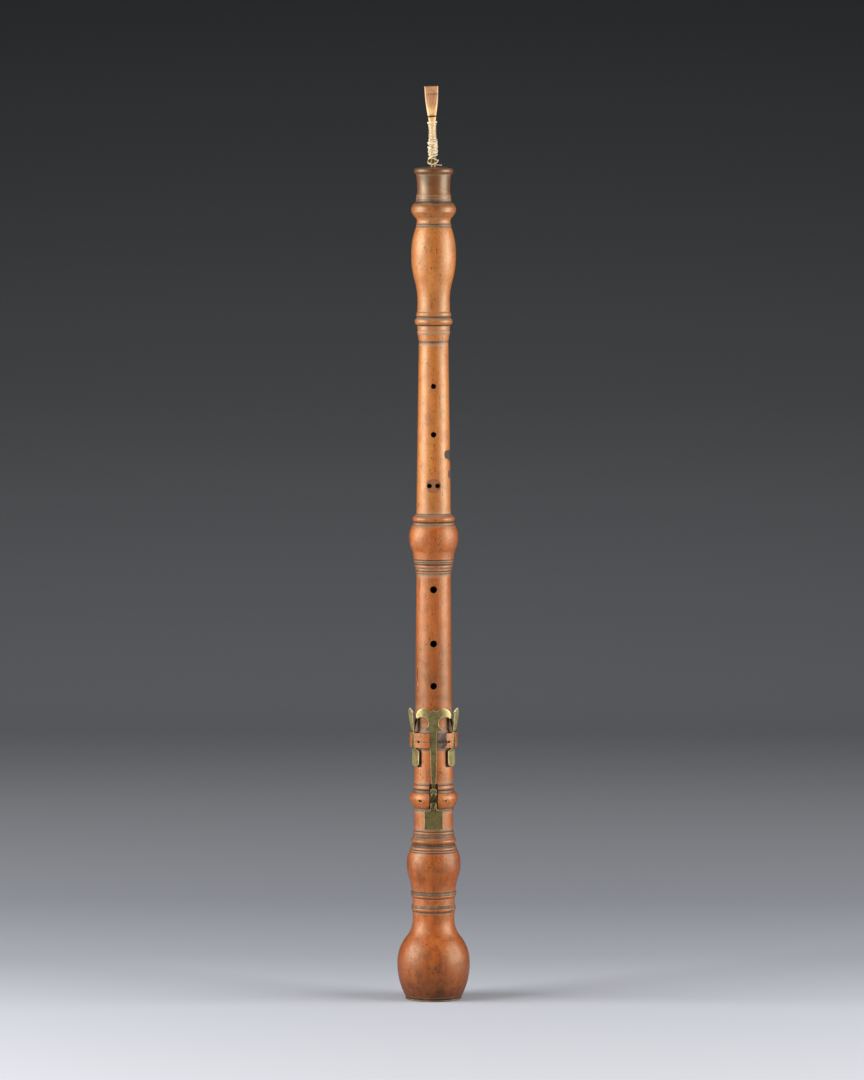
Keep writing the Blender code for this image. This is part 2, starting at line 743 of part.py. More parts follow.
def touch_outline():
    """The great key's touch from the front: two wings with round eyes, a shank and a narrow tail."""
    tail_tip = FLAP_PIVOT[1] + TAIL_TIP_RISE
    arm_top = FLAP_PIVOT[1] + FLAP_ARM_RISE
    wing = (WING_CENTRE[0], KEY_RING_TOP + WING_CENTRE[1])
    eye = (EYE_CENTRE[0], KEY_RING_TOP + EYE_CENTRE[1])
    half = [(0.0, KEY_RING_TOP + 18.5), (1.3, KEY_RING_TOP + 16.9)]
    half += circle_points(wing, WING_RADIUS, 141, -18, 11)
    half += circle_points(eye, EYE_RADIUS, 42, 252, 12)
    half += [
        (7.0, KEY_RING_TOP + 2.6),
        (5.0, KEY_RING_TOP + 2.3),
        (3.4, KEY_RING_TOP + 1.9),
        (SHANK_HALF_WIDTH, KEY_RING_TOP + 1.1),
        (SHANK_HALF_WIDTH, KEY_RING_FOOT),
        (SHANK_FOOT_HALF_WIDTH, arm_top + 3.9),
        (TAIL_HALF_WIDTH, arm_top + 2.0),
        (TAIL_HALF_WIDTH, tail_tip + 0.4),
        (TAIL_HALF_WIDTH - 0.4, tail_tip),
    ]
    return mirrored(half)


def touch_profile():
    """The great key's touch from the side, with its lug round the pin."""
    tail_tip = FLAP_PIVOT[1] + TAIL_TIP_RISE
    arm_top = FLAP_PIVOT[1] + FLAP_ARM_RISE
    inner = -SHANK_OUTER + SHANK_THICKNESS
    outline = [
        (-TOUCH_OUTER, KEY_RING_TOP + 21.0),
        (-TOUCH_OUTER, KEY_RING_TOP + 5.5),
        (-SHANK_OUTER, KEY_RING_TOP + 0.5),
        (-SHANK_OUTER, arm_top + 3.6),
        (-TAIL_OUTER, arm_top + 0.9),
        (-TAIL_OUTER, tail_tip - 1.0),
        (-TAIL_OUTER + TAIL_THICKNESS, tail_tip - 1.0),
        (-TAIL_OUTER + TAIL_THICKNESS, arm_top + 0.6),
        (inner, arm_top + 3.2),
    ]
    outline += circle_points(TOUCH_PIVOT, LUG_RADIUS, 222, 498, 10)
    outline += [
        (inner, KEY_RING_TOP - 0.5),
        (-TOUCH_OUTER + TOUCH_THICKNESS, KEY_RING_TOP + 5.0),
        (-TOUCH_OUTER + TOUCH_THICKNESS, KEY_RING_TOP + 21.0),
    ]
    return outline


def wing_bend(x):
    """How far the touch bends back round the body at x. Its shank stays flat."""
    beyond = max(abs(x) - SHANK_HALF_WIDTH, 0.0)
    return beyond * beyond / (2 * WING_BEND_RADIUS)


def make_great_touch():
    """The profile, bent round the body across its width, is trimmed to the outline and drilled."""
    profile = side_prism(touch_profile(), 14.0, 14, wing_bend)
    touch = add_object("great_key_touch", profile, brass("brass_touch"), (0.0, *TOUCH_PIVOT), 25.0)
    combine(touch, add_cutter("touch_outline", front_prism(touch_outline())), "INTERSECT")
    drill = rod((-9, *TOUCH_PIVOT), (9, *TOUCH_PIVOT), PIN_RADIUS + PIN_CLEARANCE)
    combine(touch, add_cutter("touch_drill", drill), "DIFFERENCE")


def flap_outline():
    """The great key's flap lever from the front: forked head, neck and square flap."""
    y, z = FLAP_PIVOT
    half_flap = FLAP_WIDTH / 2
    half = [
        (0.0, z + FLAP_ARM_RISE - 0.5),
        (1.0, z + FLAP_ARM_RISE),
        (2.0, z + FLAP_ARM_RISE - 0.4),
        (2.35, z + FLAP_ARM_RISE - 1.4),
        (2.35, z + 5.2),
        (2.0, z + 3.6),
        (FLAP_NECK_HALF_WIDTH, z + 2.6),
        (FLAP_NECK_HALF_WIDTH, z),
        (2.35, z - FLAP_DROP + 1.9),
    ]
    half += arc_between(half[-1], (3.6, z - FLAP_DROP + 0.2), -0.35, 3)
    half += [
        (half_flap, z - FLAP_DROP),
        (half_flap, z - FLAP_DROP - FLAP_LENGTH + 0.5),
        (0.0, z - FLAP_DROP - FLAP_LENGTH),
    ]
    return mirrored(half)


def flap_plate_depths():
    """Depths of the closed great flap's inner and outer faces, with its pad on the seat."""
    inner = GREAT_SEAT_DEPTH + FIT + GREAT_PAD_THICKNESS + GLUE
    return inner, inner + FLAP_THICKNESS


def flap_profile():
    """The flap lever from the side as it stands at rest, open."""
    inner, outer = flap_plate_depths()
    pivot_y, pivot_z = FLAP_PIVOT
    arm_inner = -TAIL_OUTER - FIT - 0.15
    foot = pivot_z - FLAP_DROP - FLAP_LENGTH - 2.0
    outline = [
        (arm_inner - FLAP_ARM_THICKNESS, pivot_z + FLAP_ARM_RISE + 1.0),
        (arm_inner - FLAP_ARM_THICKNESS, pivot_z + 0.5),
        swing((-outer, pivot_z - FLAP_DROP + 1.0), FLAP_PIVOT, FLAP_OPEN),
        swing((-outer, foot), FLAP_PIVOT, FLAP_OPEN),
        swing((-inner, foot), FLAP_PIVOT, FLAP_OPEN),
        swing((-inner, pivot_z - LUG_RADIUS), FLAP_PIVOT, FLAP_OPEN),
    ]
    outline += circle_points(FLAP_PIVOT, LUG_RADIUS, 260, 455, 8)
    outline += [(arm_inner, pivot_z + 2.6), (arm_inner, pivot_z + FLAP_ARM_RISE + 1.0)]
    return outline


def make_great_flap():
    profile = side_prism(flap_profile(), 8.0)
    flap = add_object("great_key_flap", profile, brass("brass_flap"), (0.0, *FLAP_PIVOT), 25.0)
    combine(flap, add_cutter("flap_outline", front_prism(flap_outline())), "INTERSECT")
    drill = rod((-9, *FLAP_PIVOT), (9, *FLAP_PIVOT), PIN_RADIUS + PIN_CLEARANCE)
    combine(flap, add_cutter("flap_drill", drill), "DIFFERENCE")
    inner, outer = flap_plate_depths()
    scoop_y, scoop_z = swing((-outer - 0.3, FLAP_PIVOT[1] - 3.6), FLAP_PIVOT, FLAP_OPEN)
    scoop = ball((0.0, scoop_y, scoop_z), (1.5, 1.1, 2.6), 12)
    combine(flap, add_cutter("neck_scoop", scoop), "DIFFERENCE")


def pad_form(outer, inner, half_width, top, foot, pivot, angle):
    """A leather pad given by its closed depths, with its lever at an angle."""
    corners = [(-outer, top), (-outer, foot), (-inner, foot), (-inner, top)]
    return side_prism([swing(corner, pivot, angle) for corner in corners], half_width)


def make_great_pad():
    inner, outer = flap_plate_depths()
    top = FLAP_PIVOT[1] - FLAP_DROP - 0.8
    foot = top - FLAP_LENGTH + 1.6
    half_width = FLAP_WIDTH / 2 - 0.9
    form = pad_form(inner - GLUE, GREAT_SEAT_DEPTH + FIT, half_width, top, foot, FLAP_PIVOT, FLAP_OPEN)
    add_object("great_key_pad", form, leather("leather_great"), (0.0, *FLAP_PIVOT))


def make_pin(name, pivot, start, end, angle=0.0):
    form = turned_about_bore(rod((start, *pivot), (end, *pivot), PIN_RADIUS), angle)
    centre = Matrix.Rotation(angle, 3, "Z") @ Vector((0.0, *pivot))
    add_object(name, form, brass(name + "_brass"), centre)


def make_great_pins():
    touch_reach = math.sqrt(KEY_RING_RADIUS**2 - TOUCH_PIVOT_DEPTH**2) - FIT
    flap_reach = math.sqrt(FLAP_RING_RADIUS**2 - FLAP_PIVOT_DEPTH**2) - FIT
    make_pin("great_key_touch_pin", TOUCH_PIVOT, -touch_reach, touch_reach)
    make_pin("great_key_flap_pin", FLAP_PIVOT, -flap_reach, flap_reach)


def leaf(points):
    """A leaf spring's side view: its outer face through the points, and its inner face behind them."""
    return points + [(y + SPRING_THICKNESS, z) for y, z in reversed(points)]


def make_spring(name, points, pivot, angle=0.0):
    form = turned_about_bore(side_prism(leaf(points), SPRING_HALF_WIDTH), angle)
    centre = Matrix.Rotation(angle, 3, "Z") @ Vector((0.0, *pivot))
    add_object(name, form, brass(name + "_brass"), centre)


def make_great_springs():
    tube = LOWER_TUBE_FOOT_RADIUS + FIT + SPRING_THICKNESS
    slope_start = -SHANK_OUTER + SHANK_THICKNESS
    slope = (TOUCH_OUTER - TOUCH_THICKNESS + slope_start) / 5.5
    root_y = slope_start - slope * 3.4 + FIT
    touch_points = [
        (root_y, KEY_RING_TOP + 2.9),
        ((root_y - tube) / 2 - 0.2, KEY_RING_TOP + 9.0),
        (-tube, KEY_RING_TOP + 15.5),
    ]
    make_spring("great_key_touch_spring", touch_points, TOUCH_PIVOT)
    y, z = FLAP_PIVOT
    floor = FLAP_PIVOT_DEPTH - LUG_RADIUS - FIT + FIT + SPRING_THICKNESS
    flap_points = [(y - 0.75, z - 2.3), (y - 0.25, z - 4.4), (-floor, z - 6.6)]
    make_spring("great_key_flap_spring", flap_points, FLAP_PIVOT)


def side_outline():
    """A side key from the front of its own slot: leaf-shaped touch, lever, flap with round corners."""
    top = KEY_RING_TOP + SIDE_TOUCH_RISE
    flap_top = KEY_RING_FOOT - SIDE_FLAP_DROP
    flap_foot = flap_top - SIDE_FLAP_LENGTH
    corner = (SIDE_FLAP_HALF_WIDTH - SIDE_FLAP_CORNER, flap_foot + SIDE_FLAP_CORNER)
    half = [(0.0, top)]
    half += arc_between(half[-1], (SIDE_TOUCH_HALF_WIDTH, top - 4.6), 0.9, 4)
    half += arc_between(half[-1], (SIDE_LEVER_HALF_WIDTH, KEY_RING_TOP + 0.7), 0.45, 3)
    half += [
        (SIDE_LEVER_HALF_WIDTH, flap_top + 0.4),
        (SIDE_FLAP_HALF_WIDTH - 0.6, flap_top),
        (SIDE_FLAP_HALF_WIDTH, flap_top - 0.6),
    ]
    half += circle_points(corner, SIDE_FLAP_CORNER, 0, -90, 5)
    return mirrored(half)


def side_plate_depths():
    """Depths of a closed side flap's inner and outer faces."""
    inner = SIDE_SEAT_DEPTH + FIT + SIDE_PAD_THICKNESS + GLUE
    return inner, inner + SIDE_FLAP_THICKNESS


def side_profile():
    """A side key from the side: the flap on its seat, the lever in the ring, the touch leaning outwards."""
    inner, outer = side_plate_depths()
    lever_inner = -SIDE_LEVER_FOOT_OUTER + SHANK_THICKNESS
    foot = KEY_RING_FOOT - SIDE_FLAP_DROP - SIDE_FLAP_LENGTH - 1.0
    outline = [
        (-SIDE_TOUCH_OUTER, KEY_RING_TOP + SIDE_TOUCH_RISE + 1.0),
        (-SIDE_TOUCH_FOOT_OUTER, KEY_RING_TOP + 2.4),
        (-SIDE_LEVER_OUTER, KEY_RING_TOP + 0.2),
        (-SIDE_LEVER_FOOT_OUTER, KEY_RING_FOOT + 0.4),
        (-outer, KEY_RING_FOOT - SIDE_FLAP_DROP - 1.1),
        (-outer, foot),
        (-inner, foot),
        (-inner, KEY_RING_FOOT - SIDE_FLAP_DROP + 0.2),
        (lever_inner, KEY_RING_FOOT + 1.5),
    ]
    outline += circle_points(SIDE_PIVOT, LUG_RADIUS, 235, 485, 9)
    outline += [
        (-SIDE_LEVER_OUTER + SHANK_THICKNESS, KEY_RING_TOP - 0.4),
        (-SIDE_TOUCH_FOOT_OUTER + TOUCH_THICKNESS, KEY_RING_TOP + 2.6),
        (-SIDE_TOUCH_OUTER + TOUCH_THICKNESS, KEY_RING_TOP + SIDE_TOUCH_RISE + 1.0),
    ]
    return outline


def make_side_key(side, sign):
    angle = sign * SIDE_KEY_ANGLE
    centre = Matrix.Rotation(angle, 3, "Z") @ Vector((0.0, *SIDE_PIVOT))
    profile = turned_about_bore(side_prism(side_profile(), SIDE_FLAP_HALF_WIDTH + 1.0), angle)
    key = add_object(f"{side}_key", profile, brass(f"brass_{side}_key"), centre, 25.0)
    outline = turned_about_bore(front_prism(side_outline()), angle)
    combine(key, add_cutter(f"{side}_key_outline", outline), "INTERSECT")
    drill = turned_about_bore(rod((-9, *SIDE_PIVOT), (9, *SIDE_PIVOT), PIN_RADIUS + PIN_CLEARANCE), angle)
    combine(key, add_cutter(f"{side}_key_drill", drill), "DIFFERENCE")

    inner, outer = side_plate_depths()
    flap_top = KEY_RING_FOOT - SIDE_FLAP_DROP
    pad = pad_form(
        inner - GLUE,
        SIDE_SEAT_DEPTH + FIT,
        SIDE_FLAP_HALF_WIDTH - 0.7,
        flap_top - 0.7,
        flap_top - SIDE_FLAP_LENGTH + 0.9,
        SIDE_PIVOT,
        0.0,
    )
    add_object(f"{side}_key_pad", turned_about_bore(pad, angle), leather(f"leather_{side}"), centre)

    ring_reach = math.sqrt(KEY_RING_RADIUS**2 - SIDE_PIVOT_DEPTH**2)
    ends = sorted((-sign * SIDE_PIN_REACH, sign * (ring_reach + PIN_NUB)))
    make_pin(f"{side}_key_pin", SIDE_PIVOT, *ends, angle)

    tube = LOWER_TUBE_FOOT_RADIUS + FIT + SPRING_THICKNESS
    root_y = -SIDE_TOUCH_FOOT_OUTER + TOUCH_THICKNESS + FIT
    points = [(root_y, KEY_RING_TOP + 2.7), (-tube, KEY_RING_TOP + 12.5)]
    make_spring(f"{side}_key_spring", points, SIDE_PIVOT, angle)


def staple_radius(rise):
    share = (rise - STAPLE_FOOT_RISE) / (STAPLE_TOP_RISE - STAPLE_FOOT_RISE)
    return STAPLE_FOOT_RADIUS + share * (STAPLE_TOP_RADIUS - STAPLE_FOOT_RADIUS)


def add_leaning(name, form, material, sharp_angle=35.0):
    """Add a piece of the crook or reed, tipped with them in the reed well."""
    bmesh.ops.transform(form, matrix=LEAN, verts=form.verts)
    return add_object(name, form, material, LEAN_POINT, sharp_angle)


def make_crook():
    foot = TOP - WELL_DEPTH + 2.0
    outside = [
        (CROOK_TIP_RADIUS, TOP + CROOK_TIP_RISE),
        (CROOK_NECK_RADIUS, TOP + CROOK_NECK_RISE),
        (CROOK_FOOT_RADIUS, TOP + CROOK_TAPER_START),
        (CROOK_FOOT_RADIUS, foot),
    ]
    inside = [(radius - CROOK_WALL, height) for radius, height in reversed(outside)]
    add_leaning("crook", lathe(outside + inside, TUBE_FACETS), brass("brass_crook"))
    inner = CROOK_FOOT_RADIUS + GLUE
    lapping = [
        (CROOK_LAPPING_RADIUS - 0.5, TOP + CROOK_TAPER_START - 0.5),
        (CROOK_LAPPING_RADIUS, TOP + CROOK_TAPER_START - 2.0),
        (CROOK_LAPPING_RADIUS, foot + 2.0),
        (CROOK_LAPPING_RADIUS - 0.5, foot + 1.0),
        (inner, foot + 1.0),
        (inner, TOP + CROOK_TAPER_START - 0.5),
    ]
    add_leaning("crook_lapping", lathe(lapping, TUBE_FACETS), thread("crook_lapping_thread"))


def make_staple():
    outside = [(STAPLE_TOP_RADIUS, TOP + STAPLE_TOP_RISE), (STAPLE_FOOT_RADIUS, TOP + STAPLE_FOOT_RISE)]
    inside = [(radius - STAPLE_WALL, height) for radius, height in reversed(outside)]
    add_leaning("staple", lathe(outside + inside, TUBE_FACETS), brass("brass_staple"))


def cane_section(rise):
    """Half-width, swell and wall of the cane at a height, between its stations."""
    for (low, *lower), (high, *upper) in zip(CANE_STATIONS, CANE_STATIONS[1:]):
        if rise <= high:
            share = (rise - low) / (high - low)
            return [a + (b - a) * share for a, b in zip(lower, upper)]
    return list(CANE_STATIONS[-1][1:])


def blade_ring(rise, sign):
    """One blade's section at a height, as a crescent of points."""
    half_width, swell, wall = cane_section(rise)
    arc_steps = 8
    outer = []
    inner = []
    for step in range(arc_steps + 1):
        angle = math.pi * step / arc_steps
        across, bulge = math.cos(angle), math.sin(angle)
        out_depth = CANE_SPLIT / 2 + swell * bulge
        in_depth = CANE_SPLIT / 2 + (swell - wall) * bulge
        outer.append((half_width * across, sign * out_depth, TOP + rise))
        inner.append(((half_width - wall) * across, sign * in_depth, TOP + rise))
    return outer + inner[::-1]


def make_blade(name, sign):
    rises = [station[0] for station in CANE_STATIONS]
    form = bmesh.new()
    rings = [[form.verts.new(point) for point in blade_ring(rise, sign)] for rise in rises]
    form.faces.new(rings[0])
    form.faces.new(rings[-1])
    for low, high in zip(rings, rings[1:]):
        for index in range(len(low)):
            after = (index + 1) % len(low)
            form.faces.new((low[index], low[after], high[after], high[index]))
    add_leaning(name, form, cane(name + "_cane"), 50.0)


def make_wire():
    """A turn of wire round the cane, which follows its oval."""
    half_width, swell, _ = cane_section(WIRE_RISE)
    along_x = half_width + WIRE_RADIUS + FIT
    along_y = swell + CANE_SPLIT / 2 + WIRE_RADIUS + FIT
    form = bmesh.new()
    rings = []
    for step in range(24):
        angle = math.tau * step / 24
        centre = Vector((along_x * math.cos(angle), along_y * math.sin(angle), TOP + WIRE_RISE))
        outward = Vector((math.cos(angle) / along_x, math.sin(angle) / along_y, 0.0)).normalized()
        ring = []
        for side in range(6):
            turn_angle = math.tau * side / 6
            offset = outward * math.cos(turn_angle) + Vector((0, 0, 1)) * math.sin(turn_angle)
            ring.append(form.verts.new(centre + offset * WIRE_RADIUS))
        rings.append(ring)
    for here, there in zip(rings, rings[1:] + rings[:1]):
        for side in range(6):
            after = (side + 1) % 6
            form.faces.new((here[side], here[after], there[after], there[side]))
    add_leaning("reed_wire", form, make_material("iron_wire", (0.08, 0.06, 0.05), 0.5, 1.0))


def make_thread_core():
    """The under layers of thread round the staple, below the cane."""
    top = CANE_FOOT_RISE - FIT
    foot = THREAD_FOOT_RISE
    outline = [
        (THREAD_CORE_RADIUS, TOP + top),
        (THREAD_CORE_RADIUS, TOP + foot + 1.0),
        (staple_radius(foot) + GLUE + 0.1, TOP + foot),
        (staple_radius(foot) + GLUE, TOP + foot),
        (staple_radius(top) + GLUE, TOP + top),
    ]
    add_leaning("binding_core", lathe(outline, TUBE_FACETS), thread("binding_core_thread"))


def thread_radius(rise):
    """Distance of the thread's middle from the reed's middle line."""
    lie = GLUE + THREAD_DIAMETER / 2
    over_cane = cane_section(max(rise, CANE_FOOT_RISE))[0] + CANE_SPLIT / 2 + lie
    over_core = THREAD_CORE_RADIUS + lie + 0.1
    blend = min(max((CANE_FOOT_RISE + 2.0 - rise) / 2.0, 0.0), 1.0)
    return over_cane + (over_core - over_cane) * blend


def thread_path():
    """The binding from its top turn down, then two loose turns and a straight end."""
    wound = (THREAD_TOP_RISE - THREAD_FOOT_RISE) / THREAD_PITCH
    turns = int(wound)
    points = []
    for step in range(turns * THREAD_STEPS + 1):
        angle = math.tau * step / THREAD_STEPS
        rise = THREAD_TOP_RISE - THREAD_PITCH * step / THREAD_STEPS
        radius = thread_radius(rise)
        points.append(Vector((radius * math.cos(angle), -radius * math.sin(angle), TOP + rise)))
    start_rise = points[-1].z - TOP
    start_radius = thread_radius(start_rise)
    loose_steps = int(1.75 * THREAD_STEPS)
    for step in range(1, loose_steps + 1):
        share = step / loose_steps
        angle = math.tau * step / THREAD_STEPS
        rise = start_rise + (THREAD_TAIL_RISE - start_rise) * share
        radius = start_radius + 1.0 * math.sin(math.pi * min(share * 1.2, 0.5))
        points.append(Vector((radius * math.cos(angle), -radius * math.sin(angle), TOP + rise)))
    return points


def least_gap(points, skip):
    """The smallest clear distance between turns of the thread, from its points."""
    least = math.inf
    for index, point in enumerate(points):
        for other in points[index + skip :]:
            least = min(least, (point - other).length)
    return least - THREAD_DIAMETER


def make_binding():
    points = thread_path()
    print("least gap between turns of the binding, mm:", round(least_gap(points, THREAD_STEPS // 2), 3))
    path = bpy.data.curves.new("reed_binding", "CURVE")
    path.dimensions = "3D"
    path.bevel_depth = THREAD_DIAMETER / 2 * MM
    path.bevel_resolution = 1
    path.use_fill_caps = True
    spline = path.splines.new("POLY")
    spline.points.add(len(points) - 1)
    for place, point in zip(spline.points, points):
        place.co = (*((LEAN @ point - LEAN_POINT) * MM), 1.0)
    item = bpy.data.objects.new("reed_binding", path)
    item.location = LEAN_POINT * MM
    path.materials.append(thread("binding_thread"))
    bpy.context.scene.collection.objects.link(item)


def main():
    clear_scene()
    make_bell()
    make_lower_joint()
    make_top_joint()
    make_lapping("lower_tenon_lapping", BELL_LENGTH + SEAM, LOWER_TENON_LENGTH, LOWER_TENON_RADIUS)
    make_lapping("upper_tenon_lapping", LOWER_TOP + SEAM, UPPER_TENON_LENGTH, UPPER_TENON_RADIUS)
    make_great_touch()
    make_great_flap()
    make_great_pad()
    make_great_pins()
    make_great_springs()
    make_side_key("left", -1)
    make_side_key("right", 1)
    make_crook()
    make_staple()
    make_blade("front_blade", -1)
    make_blade("back_blade", 1)
    make_wire()
    make_thread_core()
    make_binding()
    print("top of the wood, mm:", round(TOP, 2))
    print("great key's pivots, mm:", TOUCH_PIVOT, FLAP_PIVOT, "link ratio:", round(LINK_RATIO, 4))
    print("side keys' pivot before it is turned to its side, mm:", SIDE_PIVOT)


main()
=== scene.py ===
# %% [markdown]
# # An oboe d'amore, finished for a close look
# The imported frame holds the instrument's real sizes and its moving bodies. This script gives every piece
# its finished shape and surface: turned and stained boxwood, aged brass keys, cane and waxed thread.
# Everything is in metres in the frame's own place, so a piece is modelled where it belongs.

# %% Load the frame
import bisect
import math

import bmesh
import bpy
from mathutils import Matrix, Vector, noise


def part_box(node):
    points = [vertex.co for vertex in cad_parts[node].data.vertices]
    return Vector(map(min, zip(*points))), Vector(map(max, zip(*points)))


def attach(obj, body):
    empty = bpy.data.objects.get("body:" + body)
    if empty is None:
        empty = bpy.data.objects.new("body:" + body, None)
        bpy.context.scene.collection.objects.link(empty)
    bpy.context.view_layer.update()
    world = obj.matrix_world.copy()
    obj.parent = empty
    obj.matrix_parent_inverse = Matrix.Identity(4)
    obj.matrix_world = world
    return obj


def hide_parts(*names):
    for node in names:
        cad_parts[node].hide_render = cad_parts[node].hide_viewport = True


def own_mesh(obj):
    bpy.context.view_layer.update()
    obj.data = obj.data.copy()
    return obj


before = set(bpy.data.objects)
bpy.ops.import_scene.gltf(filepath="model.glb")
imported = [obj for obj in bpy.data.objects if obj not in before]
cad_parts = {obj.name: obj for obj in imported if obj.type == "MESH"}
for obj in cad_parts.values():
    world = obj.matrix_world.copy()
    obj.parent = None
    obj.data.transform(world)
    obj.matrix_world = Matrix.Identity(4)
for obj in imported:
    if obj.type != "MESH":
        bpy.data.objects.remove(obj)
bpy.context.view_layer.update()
MM = 0.001

# %% [markdown]
# ## Camera
# The instrument is long and thin, and the picture shows hardly any perspective: the ellipses of the rings
# are flat near the top and open a little towards the base. That is a long lens four metres away, at the
# height of the finial, tipped down by less than four degrees.

# %% Camera
LENS_PIXELS = 5460.0
PHOTO_HEIGHT = 1080.0
CAMERA_DISTANCE = 4.123
CAMERA_HEIGHT = 0.621
CAMERA_ASIDE = -0.0012
CAMERA_TILT = math.radians(3.77)

bpy.ops.object.select_all(action="DESELECT")
bpy.ops.object.camera_add(
    location=(CAMERA_ASIDE, -CAMERA_DISTANCE, CAMERA_HEIGHT),
    rotation=(math.pi / 2 - CAMERA_TILT, 0.0, 0.0),
)
camera = bpy.context.object
camera.data.sensor_fit = "VERTICAL"
camera.data.sensor_height = 36.0
camera.data.lens = LENS_PIXELS / PHOTO_HEIGHT * camera.data.sensor_height
camera.data.clip_end = 50.0
bpy.context.scene.camera = camera
print("lens, mm:", round(camera.data.lens, 1))


# %% [markdown]
# ## Colours and nodes
# Colours are picked as sRGB hex values, the way a paint chart gives them, and Blender's shaders want linear
# light. One function does the change. Another adds a node, sets it and links it, so that each material below
# reads as a list of what its surface is made of.

# %% Helpers for materials
def colour(hex_value):
    """Linear colour with alpha, from an sRGB hex value."""
    parts = [int(hex_value[place : place + 2], 16) / 255 for place in (1, 3, 5)]
    linear = [part / 12.92 if part <= 0.04045 else ((part + 0.055) / 1.055) ** 2.4 for part in parts]
    return (*linear, 1.0)


def add_node(tree, kind, inputs=None, stops=None, **settings):
    """Add a node, give it its settings, and link or set its inputs. stops fill a colour ramp."""
    node = tree.nodes.new(kind)
    for name, value in settings.items():
        setattr(node, name, value)
    if stops:
        ramp = node.color_ramp
        while len(ramp.elements) < len(stops):
            ramp.elements.new(0.5)
        for element, (place, value) in zip(ramp.elements, stops):
            element.position = place
            element.color = value if isinstance(value, tuple) else (value, value, value, 1.0)
    for name, value in (inputs or {}).items():
        if isinstance(value, bpy.types.NodeSocket):
            tree.links.new(value, node.inputs[name])
        else:
            node.inputs[name].default_value = value
    return node


def new_material(name):
    """A material, its node tree and its main shader."""
    material = bpy.data.materials.new(name)
    material.use_nodes = True
    return material, material.node_tree, material.node_tree.nodes["Principled BSDF"]


FACTOR, FLOAT_A, FLOAT_B, COLOUR_A, COLOUR_B = 0, 2, 3, 6, 7
MIXED_COLOUR = 2


# %% [markdown]
# ## Stained boxwood
# Boxwood is a pale, very dense wood with hardly any visible pores. Makers stained it with acid and oiled it,
# and three centuries of handling have deepened it: honey-coloured where hands rubbed it, browner near the
# sockets, and grey-brown where dirt sits in the turned grooves. The eye sees fine fibres along the bore, a
# slow figure under them, small dark pores and the soft gloss of oil. Where a round turns from the eye, its
# colour is darkened as a painted shade, which draws a dark line along the edge of every round. Concave
# corners get a painted shade over the grime, and convex edges are lightened, partly as wear and partly as a
# painted highlight.
#
# Each mesh carries two attributes: *grime*, high in the grooves and also holding a painted shadow behind the
# side touches, and *stain*, which deepens the colour.

# %% Stained boxwood
FIBRE_WIDTH = 0.5 * MM
FIGURE_WIDTH = 5.0 * MM
BLOTCH_WIDTH = 9.0 * MM
PORE_SIZE = 0.75 * MM
CORNER_REACH = 2.2 * MM
EDGE_REACH = 0.35 * MM
TOOL_MARK_SPACING = 0.55 * MM


